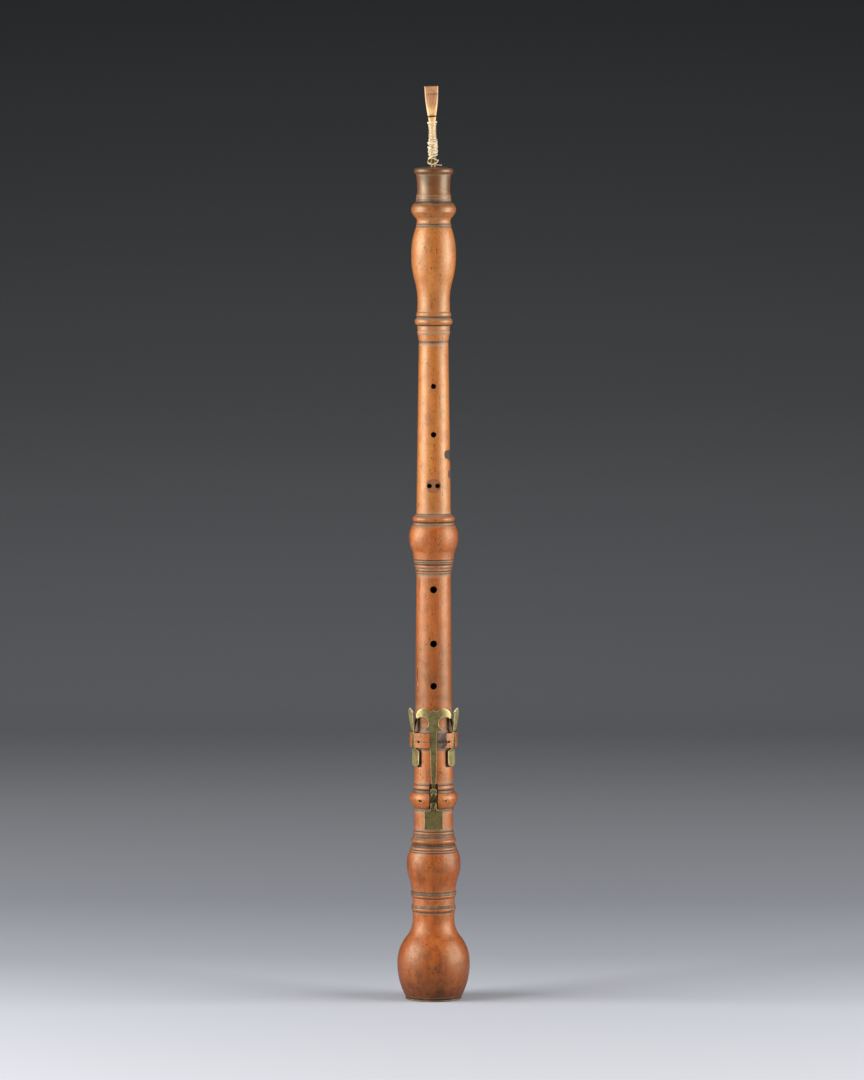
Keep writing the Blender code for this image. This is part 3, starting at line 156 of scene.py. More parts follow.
def stained_boxwood(name, pale, warm, deep, blotched, gloss, edge_shade_from):
    """Boxwood, stained, turned and oiled. pale, warm and deep are its three tones.

    gloss is how strongly the oiled surface mirrors the lights. The last argument is how far a round has to
    turn from the eye before a painted shade darkens it towards the deep tone, from 0 for face on to 1 for edge on.
    """
    material, tree, shader = new_material(name)
    place = add_node(tree, "ShaderNodeTexCoord").outputs["Object"]
    along = add_node(tree, "ShaderNodeMapping", {"Vector": place, "Scale": (1.0, 1.0, 0.045)})
    slow = add_node(tree, "ShaderNodeMapping", {"Vector": place, "Scale": (1.0, 1.0, 0.12)})
    short = add_node(tree, "ShaderNodeMapping", {"Vector": place, "Scale": (1.0, 1.0, 0.42)})
    fibres = add_node(
        tree,
        "ShaderNodeTexNoise",
        {"Vector": along.outputs[0], "Scale": 1 / FIBRE_WIDTH, "Detail": 4.0, "Roughness": 0.6},
    )
    figure = add_node(
        tree,
        "ShaderNodeTexNoise",
        {"Vector": slow.outputs[0], "Scale": 1 / FIGURE_WIDTH, "Detail": 3.0, "Distortion": 0.5},
    )
    blotches = add_node(
        tree,
        "ShaderNodeTexNoise",
        {"Vector": place, "Scale": 1 / BLOTCH_WIDTH, "Detail": 5.0, "Roughness": 0.62},
    )
    pores = add_node(
        tree,
        "ShaderNodeTexNoise",
        {"Vector": short.outputs[0], "Scale": 1 / PORE_SIZE, "Detail": 2.5, "Roughness": 0.65},
    )
    chosen = add_node(
        tree, "ShaderNodeTexNoise", {"Vector": place, "Scale": 1 / (7 * MM), "Detail": 2.0}
    )
    figured = add_node(
        tree,
        "ShaderNodeValToRGB",
        {"Fac": figure.outputs["Fac"]},
        stops=[(0.33, colour(pale)), (0.68, colour(warm))],
    )
    fibre_shade = add_node(
        tree, "ShaderNodeValToRGB", {"Fac": fibres.outputs["Fac"]}, stops=[(0.3, 0.9), (0.7, 1.03)]
    )
    fibred = add_node(
        tree,
        "ShaderNodeMix",
        {FACTOR: 1.0, COLOUR_A: figured.outputs[0], COLOUR_B: fibre_shade.outputs[0]},
        data_type="RGBA",
        blend_type="MULTIPLY",
    )
    speckle = add_node(
        tree, "ShaderNodeValToRGB", {"Fac": pores.outputs["Fac"]}, stops=[(0.4, 1.04), (0.64, 0.84)]
    )
    speckled = add_node(
        tree,
        "ShaderNodeMix",
        {FACTOR: 1.0, COLOUR_A: fibred.outputs[MIXED_COLOUR], COLOUR_B: speckle.outputs[0]},
        data_type="RGBA",
        blend_type="MULTIPLY",
    )
    blotch_amount = add_node(
        tree,
        "ShaderNodeMapRange",
        {"Value": blotches.outputs["Fac"], "From Min": 0.47, "From Max": 0.7, "To Max": blotched},
    )
    stain = add_node(tree, "ShaderNodeAttribute", attribute_name="stain")
    depth = add_node(
        tree,
        "ShaderNodeMath",
        {0: blotch_amount.outputs[0], 1: stain.outputs["Fac"]},
        operation="ADD",
        use_clamp=True,
    )
    deepened = add_node(
        tree,
        "ShaderNodeMix",
        {FACTOR: depth.outputs[0], COLOUR_A: speckled.outputs[MIXED_COLOUR], COLOUR_B: colour(deep)},
        data_type="RGBA",
    )
    pore_odds = add_node(
        tree,
        "ShaderNodeMath",
        {0: chosen.outputs["Fac"], 1: 0.35, 2: pores.outputs["Fac"]},
        operation="MULTIPLY_ADD",
    )
    fleck = add_node(
        tree, "ShaderNodeMapRange", {"Value": pore_odds.outputs[0], "From Min": 0.775, "From Max": 0.855}
    )
    fleck_strength = add_node(
        tree, "ShaderNodeMath", {0: fleck.outputs[0], 1: 0.95}, operation="MULTIPLY"
    )
    flecked = add_node(
        tree,
        "ShaderNodeMix",
        {
            FACTOR: fleck_strength.outputs[0],
            COLOUR_A: deepened.outputs[MIXED_COLOUR],
            COLOUR_B: colour("#32160a"),
        },
        data_type="RGBA",
    )
    grime = add_node(tree, "ShaderNodeAttribute", attribute_name="grime")
    patchy = add_node(
        tree,
        "ShaderNodeMapRange",
        {"Value": blotches.outputs["Fac"], "From Min": 0.3, "From Max": 0.62, "To Min": 0.72, "To Max": 1.0},
    )
    spread = add_node(
        tree, "ShaderNodeMath", {0: grime.outputs["Fac"], 1: patchy.outputs[0]}, operation="MULTIPLY"
    )
    # Occlusion finds the concave corners, and their colour is darkened there as a painted shade over the grime.
    hollow = add_node(
        tree,
        "ShaderNodeAmbientOcclusion",
        {"Distance": CORNER_REACH},
        samples=8,
        only_local=True,
    )
    corner = add_node(
        tree,
        "ShaderNodeMapRange",
        {"Value": hollow.outputs["AO"], "From Min": 0.7, "From Max": 0.95, "To Min": 1.0, "To Max": 0.0},
    )
    # Grime and the painted corner shade are taken together; their colour runs to near black in the deepest corners.
    dirt_and_shade = add_node(
        tree,
        "ShaderNodeMath",
        {0: spread.outputs[0], 1: corner.outputs[0]},
        operation="MAXIMUM",
    )
    dirt_and_shade_cover = add_node(
        tree, "ShaderNodeValToRGB", {"Fac": dirt_and_shade.outputs[0]}, stops=[(0.08, 0.0), (0.6, 0.92)]
    )
    dirt_and_shade_colour = add_node(
        tree,
        "ShaderNodeValToRGB",
        {"Fac": dirt_and_shade.outputs[0]},
        stops=[(0.3, colour("#8c6c54")), (0.64, colour("#6e5442")), (0.8, colour("#3e281c")), (0.95, colour("#140a05"))],
    )
    dirtied_and_shaded = add_node(
        tree,
        "ShaderNodeMix",
        {
            FACTOR: dirt_and_shade_cover.outputs[0],
            COLOUR_A: flecked.outputs[MIXED_COLOUR],
            COLOUR_B: dirt_and_shade_colour.outputs[0],
        },
        data_type="RGBA",
    )
    # Convex edges are lightened towards a pale tan: partly wear, partly a painted highlight.
    ridge = add_node(
        tree,
        "ShaderNodeAmbientOcclusion",
        {"Distance": EDGE_REACH},
        samples=8,
        only_local=True,
        inside=True,
    )
    wear_and_highlight = add_node(
        tree,
        "ShaderNodeMapRange",
        {"Value": ridge.outputs["AO"], "From Min": 0.6, "From Max": 0.92, "To Min": 0.4, "To Max": 0.0},
    )
    worn = add_node(
        tree,
        "ShaderNodeMix",
        {FACTOR: wear_and_highlight.outputs[0], COLOUR_A: dirtied_and_shaded.outputs[MIXED_COLOUR], COLOUR_B: colour("#d9a274")},
        data_type="RGBA",
    )
    # Towards the silhouette the colour is darkened to the deep tone: a painted shade along the edge of every round.
    grazing = add_node(tree, "ShaderNodeLayerWeight", {"Blend": 0.5})
    painted_edge_shade = add_node(
        tree,
        "ShaderNodeMapRange",
        {"Value": grazing.outputs["Facing"], "From Min": edge_shade_from, "From Max": 0.97, "To Max": 0.75},
    )
    edge_shaded = add_node(
        tree,
        "ShaderNodeMix",
        {FACTOR: painted_edge_shade.outputs[0], COLOUR_A: worn.outputs[MIXED_COLOUR], COLOUR_B: colour(deep)},
        data_type="RGBA",
    )
    tree.links.new(edge_shaded.outputs[MIXED_COLOUR], shader.inputs["Base Color"])

    uneven_gloss = add_node(
        tree,
        "ShaderNodeMapRange",
        {"Value": blotches.outputs["Fac"], "From Min": 0.3, "From Max": 0.7, "To Min": 0.38, "To Max": 0.52},
    )
    dulled = add_node(
        tree,
        "ShaderNodeMix",
        {FACTOR: dirt_and_shade_cover.outputs[0], FLOAT_A: uneven_gloss.outputs[0], FLOAT_B: 0.62},
    )
    tree.links.new(dulled.outputs[0], shader.inputs["Roughness"])
    tool_marks = add_node(
        tree,
        "ShaderNodeTexWave",
        {"Vector": place, "Scale": math.tau / (20 * TOOL_MARK_SPACING), "Distortion": 1.5, "Detail": 1.0},
        bands_direction="Z",
    )
    relief = add_node(
        tree,
        "ShaderNodeMath",
        {0: fibres.outputs["Fac"], 1: fleck.outputs[0]},
        operation="SUBTRACT",
    )
    fibre_bump = add_node(
        tree, "ShaderNodeBump", {"Strength": 0.25, "Distance": 0.06 * MM, "Height": relief.outputs[0]}
    )
    tool_bump = add_node(
        tree,
        "ShaderNodeBump",
        {
            "Strength": 0.12,
            "Distance": 0.02 * MM,
            "Height": tool_marks.outputs["Fac"],
            "Normal": fibre_bump.outputs[0],
        },
    )
    tree.links.new(tool_bump.outputs[0], shader.inputs["Normal"])
    shader.inputs["Specular IOR Level"].default_value = gloss
    shader.inputs["Specular Tint"].default_value = colour("#fff6d2")
    return material


BOXWOOD_TOP = stained_boxwood("stained_boxwood_top", "#af6a2c", "#a25820", "#4a2610", 0.28, 0.68, 0.5)
BOXWOOD_LOWER = stained_boxwood("stained_boxwood_lower", "#ad6028", "#9a4c1c", "#48200c", 0.3, 0.52, 0.32)
BOXWOOD_BELL = stained_boxwood("stained_boxwood_bell", "#b25e24", "#9c4818", "#421c0a", 0.38, 0.48, 0.34)
print("boxwood finishes:", BOXWOOD_TOP.name, BOXWOOD_LOWER.name, BOXWOOD_BELL.name)


# %% [markdown]
# ## Cut boxwood
# Bores, key slots and tone holes were cut, not turned. Their walls hold old oil and dirt and get little
# light, so they are dark and dull, with the marks of the reamer or the saw.

# %% Cut boxwood
def cut_boxwood(name, light, dark):
    """Bored or sawn boxwood, darkened with age."""
    material, tree, shader = new_material(name)
    place = add_node(tree, "ShaderNodeTexCoord").outputs["Object"]
    marks = add_node(
        tree,
        "ShaderNodeTexNoise",
        {"Vector": place, "Scale": 1 / (0.8 * MM), "Detail": 4.0, "Roughness": 0.65},
    )
    shade = add_node(
        tree,
        "ShaderNodeValToRGB",
        {"Fac": marks.outputs["Fac"]},
        stops=[(0.3, colour(dark)), (0.72, colour(light))],
    )
    bump = add_node(
        tree, "ShaderNodeBump", {"Strength": 0.5, "Distance": 0.12 * MM, "Height": marks.outputs["Fac"]}
    )
    tree.links.new(shade.outputs[0], shader.inputs["Base Color"])
    tree.links.new(bump.outputs[0], shader.inputs["Normal"])
    shader.inputs["Roughness"].default_value = 0.75
    shader.inputs["Specular IOR Level"].default_value = 0.25
    return material


BORED_WOOD = cut_boxwood("bored_boxwood", "#2e1c12", "#120a06")
SAWN_WOOD = cut_boxwood("sawn_boxwood", "#5c3a24", "#2a180e")
SEAT_WOOD = cut_boxwood("pad_seat_boxwood", "#6a4228", "#402414")
HANDLED_WOOD = cut_boxwood("handled_boxwood", "#8c5a36", "#744628")
BROKEN_WOOD = cut_boxwood("broken_boxwood", "#a8968a", "#6a554a")
BURNT_WOOD = cut_boxwood("scorched_boxwood", "#54443a", "#1e1814")
SPLIT_WOOD = cut_boxwood("waxed_split_boxwood", "#54200e", "#240a04")
print("cut wood finishes:", BORED_WOOD.name, SAWN_WOOD.name, SEAT_WOOD.name, HANDLED_WOOD.name)
print("damaged wood:", BROKEN_WOOD.name, BURNT_WOOD.name, SPLIT_WOOD.name)


# %% [markdown]
# ## Aged brass
# The keys were cut from hammered brass sheet and filed to shape. Fingers keep the touches bright, and the
# rest has gone olive brown. The attribute *rubbed* says how bright a place is kept.

# %% Aged brass
def aged_brass(name, bright, dull, darkest):
    """Filed brass sheet, rubbed bright in places and tarnished in others."""
    material, tree, shader = new_material(name)
    place = add_node(tree, "ShaderNodeTexCoord").outputs["Object"]
    cloud = add_node(
        tree,
        "ShaderNodeTexNoise",
        {"Vector": place, "Scale": 1 / (3.2 * MM), "Detail": 6.0, "Roughness": 0.6},
    )
    file_lines = add_node(tree, "ShaderNodeMapping", {"Vector": place, "Scale": (1.0, 1.0, 0.06)})
    scratches = add_node(
        tree,
        "ShaderNodeTexNoise",
        {"Vector": file_lines.outputs[0], "Scale": 1 / (0.25 * MM), "Detail": 3.0},
    )
    rubbed = add_node(tree, "ShaderNodeAttribute", attribute_name="rubbed")
    uneven = add_node(
        tree,
        "ShaderNodeMapRange",
        {"Value": cloud.outputs["Fac"], "From Min": 0.3, "From Max": 0.7, "To Min": -0.16, "To Max": 0.16},
    )
    bright_amount = add_node(
        tree,
        "ShaderNodeMath",
        {0: rubbed.outputs["Fac"], 1: uneven.outputs[0]},
        operation="ADD",
        use_clamp=True,
    )
    tone = add_node(
        tree,
        "ShaderNodeValToRGB",
        {"Fac": bright_amount.outputs[0]},
        stops=[(0.0, colour(darkest)), (0.3, colour(dull)), (0.85, colour(bright))],
    )
    polish = add_node(
        tree,
        "ShaderNodeMapRange",
        {"Value": bright_amount.outputs[0], "To Min": 0.55, "To Max": 0.42},
    )
    bump = add_node(
        tree,
        "ShaderNodeBump",
        {"Strength": 0.2, "Distance": 0.03 * MM, "Height": scratches.outputs["Fac"]},
    )
    tree.links.new(tone.outputs[0], shader.inputs["Base Color"])
    tree.links.new(polish.outputs[0], shader.inputs["Roughness"])
    tree.links.new(bump.outputs[0], shader.inputs["Normal"])
    shader.inputs["Metallic"].default_value = 1.0
    return material


KEY_BRASS = aged_brass("aged_brass_sheet", "#b5a872", "#7c7048", "#3a331f")
# The filed edges are coloured a lighter brass: partly rubbed bright, partly a painted highlight.
FILED_EDGE_HIGHLIGHT = aged_brass("filed_brass_edge_highlight", "#e0d2a4", "#b0a074", "#6a5e40")
PIN_BRASS = aged_brass("drawn_brass_wire", "#8f8058", "#5c4c30", "#2c2214")
# The springs are coloured far darker than tarnish alone makes them: a painted shade for the gap between key and tube.
SHADED_SPRING_BRASS = aged_brass("shaded_hammered_brass_strip", "#6a5c3c", "#3c3220", "#1c160e")
TUBE_BRASS = aged_brass("rolled_brass_tube", "#b3a070", "#6a5c3c", "#32291a")
print("brass finishes:", KEY_BRASS.name, FILED_EDGE_HIGHLIGHT.name, PIN_BRASS.name, SHADED_SPRING_BRASS.name, TUBE_BRASS.name)


# %% [markdown]
# ## Cane, thread, wire and leather
# Reed cane is a giant grass: straight fibres under a glossy golden bark. The blades are scraped to
# bare, browner fibre towards the tip. The thread is waxed linen, the wire is dark iron, and the pads are
# thin sheepskin.

# %% Cane, thread, wire and leather
def scraped_cane(name):
    """Cane with its bark left on low down and scraped off above. The attribute scrape tells which."""
    material, tree, shader = new_material(name)
    place = add_node(tree, "ShaderNodeTexCoord").outputs["Object"]
    along = add_node(tree, "ShaderNodeMapping", {"Vector": place, "Scale": (1.0, 1.0, 0.03)})
    fibres = add_node(
        tree,
        "ShaderNodeTexNoise",
        {"Vector": along.outputs[0], "Scale": 1 / (0.35 * MM), "Detail": 3.0},
    )
    cloud = add_node(
        tree, "ShaderNodeTexNoise", {"Vector": place, "Scale": 1 / (5 * MM), "Detail": 3.0}
    )
    bark = add_node(
        tree,
        "ShaderNodeValToRGB",
        {"Fac": fibres.outputs["Fac"]},
        stops=[(0.3, colour("#b98546")), (0.7, colour("#e0b878"))],
    )
    bare = add_node(
        tree,
        "ShaderNodeValToRGB",
        {"Fac": fibres.outputs["Fac"]},
        stops=[(0.3, colour("#8a5c3c")), (0.7, colour("#c79468"))],
    )
    scrape = add_node(tree, "ShaderNodeAttribute", attribute_name="scrape")
    surface = add_node(
        tree,
        "ShaderNodeMix",
        {FACTOR: scrape.outputs["Fac"], COLOUR_A: bark.outputs[0], COLOUR_B: bare.outputs[0]},
        data_type="RGBA",
    )
    stains = add_node(
        tree,
        "ShaderNodeMapRange",
        {"Value": cloud.outputs["Fac"], "From Min": 0.5, "From Max": 0.75, "To Max": 0.5},
    )
    stained = add_node(
        tree,
        "ShaderNodeMix",
        {FACTOR: stains.outputs[0], COLOUR_A: surface.outputs[MIXED_COLOUR], COLOUR_B: colour("#7a4e34")},
        data_type="RGBA",
    )
    mark = add_node(tree, "ShaderNodeAttribute", attribute_name="grime")
    marked = add_node(
        tree,
        "ShaderNodeMix",
        {FACTOR: mark.outputs["Fac"], COLOUR_A: stained.outputs[MIXED_COLOUR], COLOUR_B: colour("#2e1e16")},
        data_type="RGBA",
    )
    bump = add_node(
        tree, "ShaderNodeBump", {"Strength": 0.3, "Distance": 0.04 * MM, "Height": fibres.outputs["Fac"]}
    )
    tree.links.new(marked.outputs[MIXED_COLOUR], shader.inputs["Base Color"])
    tree.links.new(bump.outputs[0], shader.inputs["Normal"])
    shader.inputs["Roughness"].default_value = 0.42
    return material


def waxed_linen(name, light, dark):
    """Plied linen thread, pulled over a lump of wax. The plies follow the thread's own UV map."""
    material, tree, shader = new_material(name)
    route = add_node(tree, "ShaderNodeUVMap", uv_map="thread")
    twist = add_node(
        tree,
        "ShaderNodeMapping",
        {"Vector": route.outputs[0], "Rotation": (0.0, 0.0, math.radians(38))},
    )
    plies = add_node(tree, "ShaderNodeTexWave", {"Vector": twist.outputs[0], "Scale": 0.9})
    place = add_node(tree, "ShaderNodeTexCoord").outputs["Object"]
    soiled = add_node(
        tree, "ShaderNodeTexNoise", {"Vector": place, "Scale": 1 / (2.0 * MM), "Detail": 4.0}
    )
    tone = add_node(
        tree,
        "ShaderNodeValToRGB",
        {"Fac": soiled.outputs["Fac"]},
        stops=[(0.25, colour(dark)), (0.7, colour(light))],
    )
    shade = add_node(
        tree, "ShaderNodeValToRGB", {"Fac": plies.outputs["Fac"]}, stops=[(0.1, 0.72), (0.6, 1.0)]
    )
    plied = add_node(
        tree,
        "ShaderNodeMix",
        {FACTOR: 1.0, COLOUR_A: tone.outputs[0], COLOUR_B: shade.outputs[0]},
        data_type="RGBA",
        blend_type="MULTIPLY",
    )
    bump = add_node(
        tree, "ShaderNodeBump", {"Strength": 0.5, "Distance": 0.05 * MM, "Height": plies.outputs["Fac"]}
    )
    tree.links.new(plied.outputs[MIXED_COLOUR], shader.inputs["Base Color"])
    tree.links.new(bump.outputs[0], shader.inputs["Normal"])
    shader.inputs["Roughness"].default_value = 0.6
    shader.inputs["Sheen Weight"].default_value = 0.2
    return material


def sheepskin(name):
    """Thin vegetable-tanned sheepskin, with a fine pebbled grain."""
    material, tree, shader = new_material(name)
    place = add_node(tree, "ShaderNodeTexCoord").outputs["Object"]
    pebbles = add_node(tree, "ShaderNodeTexVoronoi", {"Vector": place, "Scale": 1 / (0.35 * MM)})
    tone = add_node(
        tree,
        "ShaderNodeValToRGB",
        {"Fac": pebbles.outputs["Distance"]},
        stops=[(0.1, colour("#7c5f43")), (0.7, colour("#4c3625"))],
    )
    bump = add_node(
        tree,
        "ShaderNodeBump",
        {"Strength": 0.5, "Distance": 0.05 * MM, "Height": pebbles.outputs["Distance"]},
        invert=True,
    )
    tree.links.new(tone.outputs[0], shader.inputs["Base Color"])
    tree.links.new(bump.outputs[0], shader.inputs["Normal"])
    shader.inputs["Roughness"].default_value = 0.8
    return material


def dark_iron(name):
    """Annealed iron wire, browned with age."""
    material, tree, shader = new_material(name)
    place = add_node(tree, "ShaderNodeTexCoord").outputs["Object"]
    rust = add_node(
        tree, "ShaderNodeTexNoise", {"Vector": place, "Scale": 1 / (0.6 * MM), "Detail": 4.0}
    )
    tone = add_node(
        tree,
        "ShaderNodeValToRGB",
        {"Fac": rust.outputs["Fac"]},
        stops=[(0.35, colour("#2a1f18")), (0.7, colour("#6a4a32"))],
    )
    tree.links.new(tone.outputs[0], shader.inputs["Base Color"])
    shader.inputs["Metallic"].default_value = 0.85
    shader.inputs["Roughness"].default_value = 0.5
    return material


CANE = scraped_cane("scraped_reed_cane")
BINDING_THREAD = waxed_linen("waxed_linen_thread", "#f0dcb6", "#c2a272")
LAPPING_THREAD = waxed_linen("waxed_tenon_thread", "#c9a878", "#8a6a48")
DARK_THREAD = waxed_linen("old_waxed_thread", "#8a6038", "#523620")
LEATHER = sheepskin("tanned_sheepskin")
IRON = dark_iron("browned_iron_wire")
print("soft finishes:", CANE.name, BINDING_THREAD.name, LEATHER.name, IRON.name)


# %% [markdown]
# ## Drawing, spinning and cutting
# A turner works from an outline. Here an outline is drawn one vertex at a time, as with the extrude tool,
# and then spun round the bore, or filled and pushed out to a bar. Holes and slots are cut with Booleans,
# and a narrow bevel breaks every sharp edge so that it catches the light.

# %% Helpers for shapes
def clear_selection():
    """Leave edit mode with nothing selected."""
    if bpy.context.object and bpy.context.object.mode != "OBJECT":
        bpy.ops.object.mode_set(mode="OBJECT")
    bpy.ops.object.select_all(action="DESELECT")


def make_active(piece):
    clear_selection()
    piece.select_set(True)
    bpy.context.view_layer.objects.active = piece


def draw_line(name, points):
    """Draw a chain of edges through points, given in millimetres, and stay in edit mode."""
    clear_selection()
    bpy.ops.mesh.primitive_plane_add(size=MM, location=(0.0, 0.0, 0.0))
    piece = bpy.context.object
    piece.name = piece.data.name = name
    bpy.ops.object.mode_set(mode="EDIT")
    bpy.ops.mesh.merge(type="CENTER")
    bpy.ops.transform.translate(value=Vector(points[0]) * MM)
    for here, there in zip(points, points[1:]):
        step = (Vector(there) - Vector(here)) * MM
        bpy.ops.mesh.extrude_vertices_move(TRANSFORM_OT_translate={"value": step})
    return piece


def select_ends():
    """Select the first and last vertex of the chain being drawn."""
    bpy.ops.mesh.select_all(action="DESELECT")
    form = bmesh.from_edit_mesh(bpy.context.object.data)
    for vertex in form.verts:
        vertex.select = len(vertex.link_edges) == 1
    form.select_flush(True)
    bmesh.update_edit_mesh(bpy.context.object.data)


def spin_outline(name, outline, steps=96):
    """Spin a closed outline of (radius, height) points round the bore."""
    piece = draw_line(name, [(radius, 0.0, height) for radius, height in outline])
    select_ends()
    bpy.ops.mesh.edge_face_add()
    bpy.ops.mesh.select_all(action="SELECT")
    bpy.ops.mesh.spin(steps=steps, angle=math.tau, center=(0.0, 0.0, 0.0), axis=(0.0, 0.0, 1.0))
    bpy.ops.mesh.select_all(action="SELECT")
    bpy.ops.mesh.remove_doubles(threshold=0.001 * MM)
    bpy.ops.mesh.normals_make_consistent(inside=False)
    bpy.ops.object.mode_set(mode="OBJECT")
    return piece


def push_out(name, corners, moves):
    """Fill a closed outline and extrude it along each of moves in turn, all in millimetres."""
    piece = draw_line(name, corners)
    bpy.ops.mesh.select_all(action="SELECT")
    bpy.ops.mesh.edge_face_add()
    for move in moves:
        bpy.ops.mesh.extrude_region_move(TRANSFORM_OT_translate={"value": Vector(move) * MM})
    bpy.ops.mesh.select_all(action="SELECT")
    bpy.ops.mesh.normals_make_consistent(inside=False)
    bpy.ops.object.mode_set(mode="OBJECT")
    return piece


def rod(name, start, end, radius, sides=48):
    """A plain round bar from start to end, in millimetres, for cutting or for shaping further."""
    clear_selection()
    way = Vector(end) - Vector(start)
    bpy.ops.mesh.primitive_cylinder_add(
        vertices=sides,
        radius=radius * MM,
        depth=way.length * MM,
        location=(Vector(start) + Vector(end)) / 2 * MM,
        rotation=way.to_track_quat("Z", "Y").to_euler(),
    )
    bpy.context.object.name = name
    return bpy.context.object


def block(name, low, high):
    """A plain block between two corners, in millimetres."""
    clear_selection()
    size = Vector(high) - Vector(low)
    bpy.ops.mesh.primitive_cube_add(
        size=1.0, location=(Vector(low) + Vector(high)) / 2 * MM, scale=size * MM
    )
    bpy.context.object.name = name
    return bpy.context.object


def ball(name, centre, size, segments=32):
    clear_selection()
    bpy.ops.mesh.primitive_uv_sphere_add(
        segments=segments, ring_count=segments // 2, radius=1.0, location=Vector(centre) * MM, scale=Vector(size) * MM
    )
    bpy.context.object.name = name
    return bpy.context.object


def turned(piece, angle):
    """Turn an object about the bore, and write the turn into its mesh."""
    make_active(piece)
    bpy.ops.object.transform_apply(location=True, rotation=True, scale=True)
    piece.rotation_euler = (0.0, 0.0, angle)
    bpy.ops.object.transform_apply(location=False, rotation=True, scale=False)
    return piece


def coat(piece, material):
    """Give the whole piece one material."""
    piece.data.materials.clear()
    piece.data.materials.append(material)
    piece.data.polygons.foreach_set("material_index", [0] * len(piece.data.polygons))


def carve(piece, tool, operation="DIFFERENCE", finish=None):
    """Cut piece with tool, or keep what both share. The cut faces take finish."""
    if finish:
        coat(tool, finish)
    step = piece.modifiers.new(tool.name, "BOOLEAN")
    step.operation = operation
    step.object = tool
    step.solver = "EXACT"
    step.material_mode = "TRANSFER"
    make_active(piece)
    bpy.ops.object.modifier_apply(modifier=step.name)
    bpy.data.objects.remove(tool, do_unlink=True)
    return piece


def break_edges(piece, width, segments=2, angle=40.0, finish=None):
    """Round every edge sharper than angle by width, in millimetres. The rounded strip takes finish."""
    step = piece.modifiers.new("broken edges", "BEVEL")
    step.width = width * MM
    step.segments = segments
    step.limit_method = "ANGLE"
    step.angle_limit = math.radians(angle)
    step.use_clamp_overlap = False
    if finish:
        piece.data.materials.append(finish)
        step.material = len(piece.data.materials) - 1
    make_active(piece)
    bpy.ops.object.modifier_apply(modifier=step.name)
    bpy.ops.object.shade_smooth_by_angle(angle=math.radians(35.0))
    return piece


def finish_piece(piece, material, body, slot, *nodes):
    """Write the piece's place into its mesh, give it its material, and hang it on its body."""
    make_active(piece)
    bpy.ops.object.transform_apply(location=True, rotation=True, scale=True)
    if not any(piece.data.materials):
        coat(piece, material)
    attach(piece, body)
    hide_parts(*nodes)
    print(piece.name, len(piece.data.polygons), "faces")
    return piece


def write_attribute(piece, name, value_at):
    """Store value_at(point in millimetres) on every vertex."""
    layer = piece.data.attributes.new(name, "FLOAT", "POINT")
    layer.data.foreach_set("value", [value_at(vertex.co / MM) for vertex in piece.data.vertices])


# %% [markdown]
# ## Outlines of the turned joints
# Each joint is followed from its top to its foot as a list of stretches: how far down, the radius there,
# and how much the line swells (or hollows) between. Arcs get a point every half millimetre. Straight tubes
# get a ring every few millimetres, so that marks on them have somewhere to sit.

# %% Helpers for outlines
ARC_SPACING = 0.5
TUBE_SPACING = 4.0
EDGE_INSET = 0.2


def arc_between(start, end, bow, spacing=ARC_SPACING):
    """Points after start on an arc to end whose middle rises to the left of the way by bow."""
    first, last = Vector(start), Vector(end)
    half_chord = (last - first) / 2
    steps = max(2, math.ceil(2 * half_chord.length / spacing))
    along = half_chord.normalized()
    outwards = Vector((-along.y, along.x))
    reach = half_chord.length
    radius = (reach * reach + bow * bow) / (2 * bow)
    half_angle = 2 * math.atan(bow / reach)
    centre = (first + last) / 2 - outwards * (radius - bow)
    points = []
    for step in range(1, steps + 1):
        angle = half_angle * (2 * step / steps - 1)
        point = centre + radius * (outwards * math.cos(angle) + along * math.sin(angle))
        points.append((point.x, point.y))
    return points


def straight_between(start, end):
    """Points after start on a straight stretch, with one close to each end of a long one."""
    first, last = Vector(start), Vector(end)
    length = (last - first).length
    if length < 4 * EDGE_INSET:
        return [end]
    spacing = TUBE_SPACING if length > 12.0 else 1.0
    inner = max(1, math.ceil((length - 2 * EDGE_INSET) / spacing))
    reach = [EDGE_INSET + (length - 2 * EDGE_INSET) * step / inner for step in range(inner + 1)]
    return [tuple(first.lerp(last, place / length)) for place in reach] + [end]


def line(length, radius):
    return (length, radius, 0.0)


def curve(length, radius, bow):
    return (length, radius, bow)


def groove(radius, depth, after):
    """A fine cut line: in by depth and out again."""
    return [line(0.35, radius - depth), line(0.35, after)]


def length_of(stretches):
    return sum(stretch[0] for stretch in stretches)


def turn(start, stretches):
    """Follow stretches downwards from start, as (radius, height) points."""
    outline = [start]
    for length, radius, bow in stretches:
        end = (radius, outline[-1][1] - length)
        if length == 0.0:
            outline.append(end)
        elif bow:
            outline += arc_between(outline[-1], end, bow)
        else:
            outline += straight_between(outline[-1], end)
    return outline


# %% The turned ornaments, from the frame's own sizes
BELL_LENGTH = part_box("bell")[1][2] / MM
LOWER_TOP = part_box("lower_joint")[1][2] / MM
LOWER_FOOT_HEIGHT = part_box("lower_joint")[0][2] / MM
CROWN_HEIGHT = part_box("top_joint")[1][2] / MM
TOP_FOOT_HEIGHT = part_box("top_joint")[0][2] / MM
CROWN_RISE = 0.9
CROWN_RADIUS = 9.0
TOP = CROWN_HEIGHT - CROWN_RISE
SEAM = 0.2
FIT = 0.3
LIP_RADIUS = 13.9
FINIAL = [
    curve(4.6, 13.2, 1.25),
    curve(13.4, 12.4, -0.25),
    line(3.2, 13.15),
    line(3.4, 13.4),
    line(0.6, 13.1),
    curve(5.5, 17.0, 0.9),
    line(2.2, 16.8),
    curve(4.8, 13.3, 0.25),
    line(1.5, 12.7),
    line(2.2, 12.85),
    line(0.3, 13.25),
    line(1.9, 13.3),
    line(0.4, 13.0),
]
BALUSTER = [
    line(0.3, 13.4),
    curve(20.4, 16.87, 1.0),
    curve(18.5, 14.75, 0.65),
    curve(15.5, 12.2, -0.5),
    line(9.4, 12.4),
]
